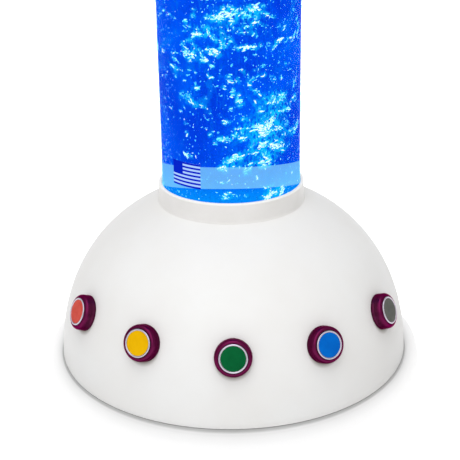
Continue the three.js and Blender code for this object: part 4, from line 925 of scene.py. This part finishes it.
# Patches of water: turn in degrees, height, half width and half height in mm, share (less than 0 is dim)
WATER_PATCHES = [
    (-32, 268, 24, 22, -0.9), (-50, 300, 14, 18, -0.8), (-30, 243, 24, 10, -0.5), (8, 224, 22, 9, -0.4),
    (-38, 345, 14, 14, -0.5), (36, 342, 20, 14, -0.4), (5, 345, 20, 9, -0.4), (35, 303, 24, 16, 0.5),
    (27, 277, 22, 14, 0.7), (33, 246, 24, 18, 0.5), (-36, 309, 14, 9, 0.36), (5, 243, 16, 10, 0.3),
    (38, 205, 18, 10, 0.36), (-2, 390, 34, 14, 0.12), (-52, 331, 12, 8, 0.26), (-18, 370, 20, 10, 0.12),
    (52, 268, 16, 12, 0.3),
]
GLOW_MARGIN = 1.5
GLOW_LIMIT = 1.2


def paint_glow(piece):
    """How near each point of the water is to the drifts, and how dim it is, as attributes."""
    count = len(piece.data.vertices)
    places = np.empty(count * 3)
    piece.data.vertices.foreach_get("co", places)
    places = places.reshape(-1, 3) / MM
    turns = np.degrees(np.arctan2(places[:, 0], -places[:, 1]))

    def offsets(turn_at, height):
        return np.radians((turns - turn_at + 180) % 360 - 180) * BUBBLE_SHELL, places[:, 2] - height

    glow = np.zeros(count)
    for turn_at, height, length, thickness, slope, density in all_drifts:
        dx, dz = offsets(turn_at, height)
        tilt = math.radians(slope)
        along = (dx * math.cos(tilt) + dz * math.sin(tilt)) / (length * 0.5 + GLOW_MARGIN)
        across = (dz * math.cos(tilt) - dx * math.sin(tilt)) / (thickness * 0.5 + GLOW_MARGIN)
        glow += (0.25 + 0.25 * density) * np.exp(-along ** 2 - across ** 2)
    dim = np.zeros(count)
    for turn_at, height, width, tall, share in WATER_PATCHES:
        dx, dz = offsets(turn_at, height)
        patch = share * np.exp(-(dx / width) ** 2 - (dz / tall) ** 2)
        dim += np.maximum(-patch, 0)
        glow += np.maximum(patch, 0)
    keep_values(piece.data, "glow", np.minimum(glow, GLOW_LIMIT))
    keep_values(piece.data, "dim", np.minimum(dim, 1))


paint_glow(water_column)
water_column.visible_diffuse = False
dress(water_column, lit_water, "base", "clear_acrylic")

# Label: a clear band round the tube's foot and a striped patch on it, in millimetres and degrees
# Edges: height in front, fall, and the turn where it has fallen so far
BAND_TOP, BAND_FOOT = (238, 15, 82), (214.5, 19.5, 86)
BAND_HALF = 100
BAND_RADIUS = 76.25
PATCH_TOP, PATCH_FOOT = (238.8, 0, 90), (211.8, 0, 90)
PATCH_LEFT, PATCH_RIGHT = -52.2, -24.4
PATCH_RADIUS = 76.5
FILM_THICKNESS = 0.12


def edge_height(turn_at, front, fall, full_turn):
    return front - fall * (1 - math.cos(math.radians(turn_at))) / (1 - math.cos(math.radians(full_turn)))


def round_place(turn_at, radius, height):
    """A point round the upright axis, turned from the front in degrees."""
    angle = math.radians(turn_at)
    return Vector((math.sin(angle) * radius, -math.cos(angle) * radius, height))


def wrapped(name, start, end, foot, top, radius, columns, rows):
    """A grid bent round the tube between two edges, with a thin wall."""
    deselect()
    bpy.ops.mesh.primitive_grid_add(x_subdivisions=columns, y_subdivisions=rows, size=1)
    piece = bpy.context.active_object
    piece.name = name
    for vertex in piece.data.vertices:
        turn_at = start + (end - start) * (vertex.co.x + 0.5)
        low, high = edge_height(turn_at, *foot), edge_height(turn_at, *top)
        vertex.co = round_place(turn_at, radius, low + (high - low) * (vertex.co.y + 0.5)) * MM
    modify(piece, "SOLIDIFY", thickness=FILM_THICKNESS * MM, offset=1)
    settle(piece, 40)
    piece.visible_diffuse = False
    return piece


label_band = wrapped("label_band", -BAND_HALF, BAND_HALF, BAND_FOOT, BAND_TOP, BAND_RADIUS, 100, 4)
dress(label_band, label_film, "base", "clear_acrylic")
label_patch = wrapped("label_patch", PATCH_LEFT, PATCH_RIGHT, PATCH_FOOT, PATCH_TOP, PATCH_RADIUS, 20, 8)
dress(label_patch, striped_patch, "base", "clear_acrylic")

# Cap with its vent, in millimetres
LID_BORE = 76.7
LID_RADIUS = 80.2
LID_ROUND = 3
LID_PLATE = 4
VENT_RADIUS = 10
cap_low, cap_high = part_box("top_cap")
foot, top = cap_low.z / MM, cap_high.z / MM
lid_profile = [(LID_BORE, foot), (LID_RADIUS - 0.6, foot), (LID_RADIUS, foot + 0.6)]
lid_profile += arc(LID_RADIUS - LID_ROUND, top - LID_ROUND, LID_ROUND, LID_ROUND, 0, 90, 8)
lid_profile += [
    (VENT_RADIUS + 4, top), (VENT_RADIUS + 2.6, top - 0.3), (VENT_RADIUS + 0.6, top - 1.1),
    (VENT_RADIUS, top - 1.8), (VENT_RADIUS, top - LID_PLATE), (LID_BORE, top - LID_PLATE),
]
vent_cap = turned("vent_cap", scaled(lid_profile), RING_SEGMENTS, hollow=True)
dress(vent_cap, collar_white, "cap", "collar_white", "top_cap")

# Buttons: bezel, cap ring, disc and spring, made once and copied to each place
BUTTON_SEGMENTS = 96


def turned_with_marks(name, profile, hollow=False):
    """A turned piece whose points keep their radius and height, for the tool marks."""
    piece = turned(name, scaled(profile), BUTTON_SEGMENTS, hollow)
    values = [(v.co.xy.length, v.co.z, 0) for v in piece.data.vertices]
    places = piece.data.attributes.new("turned_place", "FLOAT_VECTOR", "POINT")
    places.data.foreach_set("vector", [n for value in values for n in value])
    return piece


waist = BEZEL_RADIUS - BEZEL_STEP
bezel_profile = [
    (STEM_HOLE, -SHANK_LENGTH), (SHANK_RADIUS - 0.6, -SHANK_LENGTH), (SHANK_RADIUS, -SHANK_LENGTH + 0.6),
    (SHANK_RADIUS, -BEZEL_SEAT), (BEZEL_RADIUS - 0.3, -BEZEL_SEAT), (BEZEL_RADIUS, -BEZEL_SEAT / 2),
    (BEZEL_RADIUS, BEZEL_WALL), (waist, BEZEL_WALL + 0.4), (waist, BEZEL_WALL + 0.9),
]
bezel_profile += arc(BEZEL_RIM, BEZEL_SHOULDER, waist - BEZEL_RIM, BEZEL_HEIGHT - BEZEL_SHOULDER, 0, 82, 12)
bezel_profile += [
    (BEZEL_RIM - 0.3, BEZEL_HEIGHT), (BEZEL_BORE + 0.1, BEZEL_HEIGHT - 0.25),
    (BEZEL_BORE, BEZEL_HEIGHT - 0.7), (BEZEL_BORE, BEZEL_FLOOR), (STEM_HOLE, BEZEL_FLOOR),
]
bezel_master = turned_with_marks("bezel_master", bezel_profile, hollow=True)

ring_foot = CAP_TOP - CAP_EDGE
ring_inner = CAP_RADIUS - CAP_RING
cap_profile = [(STEM_RADIUS, STEM_FOOT), (STEM_RADIUS, CAP_UNDERSIDE), (CAP_RADIUS, CAP_UNDERSIDE)]
cap_profile += [(CAP_RADIUS, ring_foot)]
cap_profile += arc(CAP_RADIUS - CAP_RING / 2, ring_foot, CAP_RING / 2, CAP_EDGE, 12, 168, 10)
cap_profile += [(ring_inner, ring_foot - 0.05), (0.5, ring_foot - 0.05)]
cap_master = turned_with_marks("cap_master", cap_profile)

disc_profile = [
    (DISC_RADIUS, ring_foot), (DISC_RADIUS, ring_foot + 0.35), (DISC_RADIUS - 0.12, ring_foot + 0.46),
    (DISC_RADIUS - 0.4, ring_foot + 0.5), (8, ring_foot + 0.54), (1, ring_foot + 0.56),
]
disc_master = turned("disc_master", scaled(disc_profile), BUTTON_SEGMENTS)


def wound_spring():
    """Round wire wound up from the bezel's floor to the cap's underside."""
    deselect()
    bpy.ops.mesh.primitive_circle_add(
        vertices=WIRE_SIDES, radius=SPRING_WIRE * MM, rotation=(math.pi / 2, 0, 0),
        location=(SPRING_RADIUS * MM, 0, (SPRING_LOW + SPRING_WIRE) * MM),
    )
    piece = settle(bpy.context.active_object)
    rise = (SPRING_HIGH - SPRING_LOW - 2 * SPRING_WIRE) / SPRING_TURNS * MM
    steps = SPRING_STEPS
    modify(piece, "SCREW", iterations=SPRING_TURNS, screw_offset=rise, steps=steps, render_steps=steps)
    edit(piece)
    bpy.ops.mesh.fill_holes(sides=0)
    return settle(piece)


spring_master = wound_spring()
for name, step, height in BUTTONS:
    matrix = button_matrix(step, height)
    body = name + "_button"
    spring = copied(spring_master, name + "_wound_spring", matrix)
    dress(spring, steel, "base", "steel", name + "_spring")
    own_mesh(spring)
    bezel = copied(bezel_master, name + "_bezel_turned", matrix)
    dress(bezel, purple_anodised, "base", "purple_anodised", name + "_bezel")
    cap = copied(cap_master, name + "_cap_ring", matrix)
    dress(cap, silver_ring, body, "aluminium", name + "_button_cap")
    disc = copied(disc_master, name + "_disc", matrix)
    dress(disc, disc_materials[name], body, "disc_" + name, name + "_insert")
remove(bezel_master, cap_master, disc_master, spring_master)

# Back: inlet jack, drain plug and screws, profiles in millimetres
PORT_SIDE = 16 * MM
JACK_LIP = 2
BUNG_HEAD = 4.5
BUNG_RIDGES = 7
SCREW_SIDE = 28 * MM
SCREW_SINK = 3.1 * MM
PLATE_SCREW_RING = 182 * MM
PLATE_SCREW_LIFT = 0.1 * MM
panel_low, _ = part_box("socket_panel")
inlet_low, inlet_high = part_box("power_inlet")
_, plug_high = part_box("drain_plug")
port_height = (inlet_low.z + inlet_high.z) / 2


def facing_back(x, y):
    """The place of a piece at the ports' height whose axis points backwards."""
    return Matrix.Translation((x, y, port_height)) @ rotation(-90, "X")


jack_profile = [
    (6, -20), (6, 0), (7.5, 0), (7.9, 0.3), (7.9, 1.4), (7.4, 1.9), (3.7, JACK_LIP), (3.3, 1.7),
    (3.3, -10), (1, -10), (1, -0.6), (0.7, -0.1), (0.2, 0),
]
inlet_jack = turned("inlet_jack", scaled(jack_profile), SMALL_SEGMENTS)
placed(inlet_jack, facing_back(PORT_SIDE, inlet_high.y - JACK_LIP * MM))
dress(inlet_jack, black_plastic, "base", "black_plastic", "power_inlet")

bung_profile = [(2.9, -12), (3.2, -11.6), (3.2, 0), (7.0, 0)]
bung_profile += [((7.35, 7.0)[i % 2], 0.5 + 0.45 * i) for i in range(BUNG_RIDGES)]
bung_profile += [(7.2, 3.7), (6.8, 4.3), (6.2, BUNG_HEAD), (3, BUNG_HEAD), (2.4, 3.9), (0.4, 3.8)]
drain_bung = turned("drain_bung", scaled(bung_profile), SMALL_SEGMENTS)
placed(drain_bung, facing_back(-PORT_SIDE, plug_high.y - BUNG_HEAD * MM))
dress(drain_bung, black_rubber, "plug", "black_rubber", "drain_plug")

screw_profile = [
    (1.6, -3), (1.6, 0), (3.2, 0), (3.3, 0.3), (3.1, 1.0), (2.5, 1.6), (1.5, 1.8), (1.3, 1.7),
    (1.2, 0.8), (0.2, 0.7),
]
screw_master = turned("screw_master", scaled(screw_profile), 24)
for i, side in enumerate((-SCREW_SIDE, SCREW_SIDE), 1):
    screw = copied(screw_master, "panel_screw_%d" % i, facing_back(side, panel_low.y + SCREW_SINK))
    dress(screw, steel, "base", "steel")
plate_low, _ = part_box("base_plate")
for i, turn_at in enumerate((-100, -45, 45, 100), 1):
    spot = round_place(turn_at, PLATE_SCREW_RING, plate_low.z - PLATE_SCREW_LIFT)
    screw = copied(screw_master, "plate_screw_%d" % i, Matrix.Translation(spot) @ rotation(180, "X"))
    dress(screw, steel, "base", "steel")
remove(screw_master)

# Rubber feet
foot_profile = [(10.4, 0), (11.2, 0.3), (13.6, 5.2), (13.4, 5.7)]
for i in range(1, 5):
    name = "rubber_foot_%d" % i
    low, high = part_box(name)
    centre = (low + high) / 2
    foot = turned("foot_pad_%d" % i, scaled(foot_profile), SMALL_SEGMENTS)
    placed(foot, Matrix.Translation((centre.x, centre.y, 0)))
    dress(foot, black_rubber, "base", "black_rubber", name)

# Finishes of the CAD nodes that stay
colours = [name for name, _, _ in BUTTONS]
NODE_FINISHES = [
    (collar_white, ["collar_lock_ring", "air_inlet", "air_diffuser", "drain_fitting"]),
    (clear_acrylic, ["tube_floor"]),
    (grey_plastic, ["base_plate", "tube_socket", "check_valve", "socket_panel"]),
    (cast_aluminium, ["socket_post_1", "socket_post_2", "socket_post_3", "heat_spreader"]),
    (board_green, ["led_board"]),
    (clear_hose, ["airline_lower", "airline_upper", "drain_hose"]),
    (black_plastic, ["air_pump", "control_box", "wire_harness"] + [name + "_switch" for name in colours]),
    (steel, [name + "_nut" for name in colours]),
]
for material, nodes in NODE_FINISHES:
    for name in nodes:
        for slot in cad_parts[name].material_slots:
            slot.material = material

# Floor and lights: sizes in metres
FLOOR_RADIUS = 30
FLOOR_WHITE = grey(0.78)
# Painted shadow round the dome's foot: its reach, its stretch to the front, and the floor's emission and
# colour along it
SHADOW_REACH = 15 * MM
SHADOW_STRETCH = 2.75
SHADOW_STOPS = [
    (0.17, 0), (0.24, 0.06), (0.33, 0.1), (0.43, 0.135), (0.53, 0.175), (0.73, 0.216), (0.93, 0.25), (1, 1),
]
CONTACT_STOPS = [(0.05, 0.48), (0.13, 0.78)]
WORLD_LIGHT = 0.505
LAMP_AIM = (0, 0, 0.12)
LAMPS = [("key_lamp", (-0.3, -1.6, 2.0), 2.0, 23), ("fill_lamp", (0, -2.2, 0.6), 1.6, 4.4)]
OVERHEAD_SPREAD = 0.64
OVERHEAD_POWER = 0.72


def make_floor():
    """White floor: bright to the camera by emission, and it takes the object's real shadow, deepened by a
    painted soft shadow and a painted contact line round the dome's foot.
    """
    made, tree, shader = new_material("studio_floor")
    place = object_place(tree)
    distance = node(tree, "ShaderNodeVectorMath", {0: place}, operation="LENGTH")["Value"]
    beyond = maths(tree, "SUBTRACT", distance, DOME_RADIUS)
    frontal = maths(tree, "DIVIDE", axes(tree, place)["Y"], distance)
    frontal = maths(tree, "MINIMUM", frontal, 0.0)
    frontal = maths(tree, "MULTIPLY", frontal, frontal)
    longer = maths(tree, "MULTIPLY_ADD", frontal, SHADOW_STRETCH, 1.0)
    # Painted shadow: near the dome's foot the emission fades and the colour darkens, further towards the
    # front
    ring = spread(tree, maths(tree, "DIVIDE", beyond, longer), 0.0, SHADOW_REACH)
    painted_shadow = colour_ramp(tree, ring, [(position, grey(share)) for position, share in SHADOW_STOPS])
    painted_contact_shade = colour_ramp(tree, ring, [(position, grey(share)) for position, share in CONTACT_STOPS])
    camera_share = node(tree, "ShaderNodeLightPath")["Is Camera Ray"]
    strength = maths(tree, "MULTIPLY", painted_shadow, seen_share(tree))
    feed(tree, shader, {"Base Color": blend(tree, camera_share, FLOOR_WHITE, painted_contact_shade)})
    feed(tree, shader, {"Roughness": 1.0, "Specular IOR Level": 0.0})
    feed(tree, shader, {"Emission Color": grey(1), "Emission Strength": strength})
    return made


deselect()
bpy.ops.mesh.primitive_circle_add(vertices=96, radius=FLOOR_RADIUS, fill_type="NGON")
floor = bpy.context.active_object
floor.name = "studio_floor"
floor.data.materials.append(make_floor())

world = bpy.data.worlds.new("studio")
bpy.context.scene.world = world
world.use_nodes = True
tree = world.node_tree
soft = feed(tree, tree.nodes["Background"], {"Color": grey(1), "Strength": WORLD_LIGHT})
white = node(tree, "ShaderNodeBackground", {"Color": grey(1), "Strength": 1.0})
choice = node(tree, "ShaderNodeMixShader", {0: seen_share(tree), 1: soft.outputs[0], 2: white[0]})
feed(tree, tree.nodes["World Output"], {"Surface": choice[0]})

for name, place, size, power in LAMPS:
    light = bpy.data.lights.new(name, "AREA")
    light.size = size
    light.energy = power
    lamp = into_scene(name, light)
    lamp.location = place
    lamp.rotation_euler = (Vector(LAMP_AIM) - Vector(place)).to_track_quat("-Z", "Y").to_euler()
overhead = bpy.data.lights.new("overhead_light", "SUN")
overhead.angle = OVERHEAD_SPREAD
overhead.energy = OVERHEAD_POWER
into_scene("overhead_light", overhead)
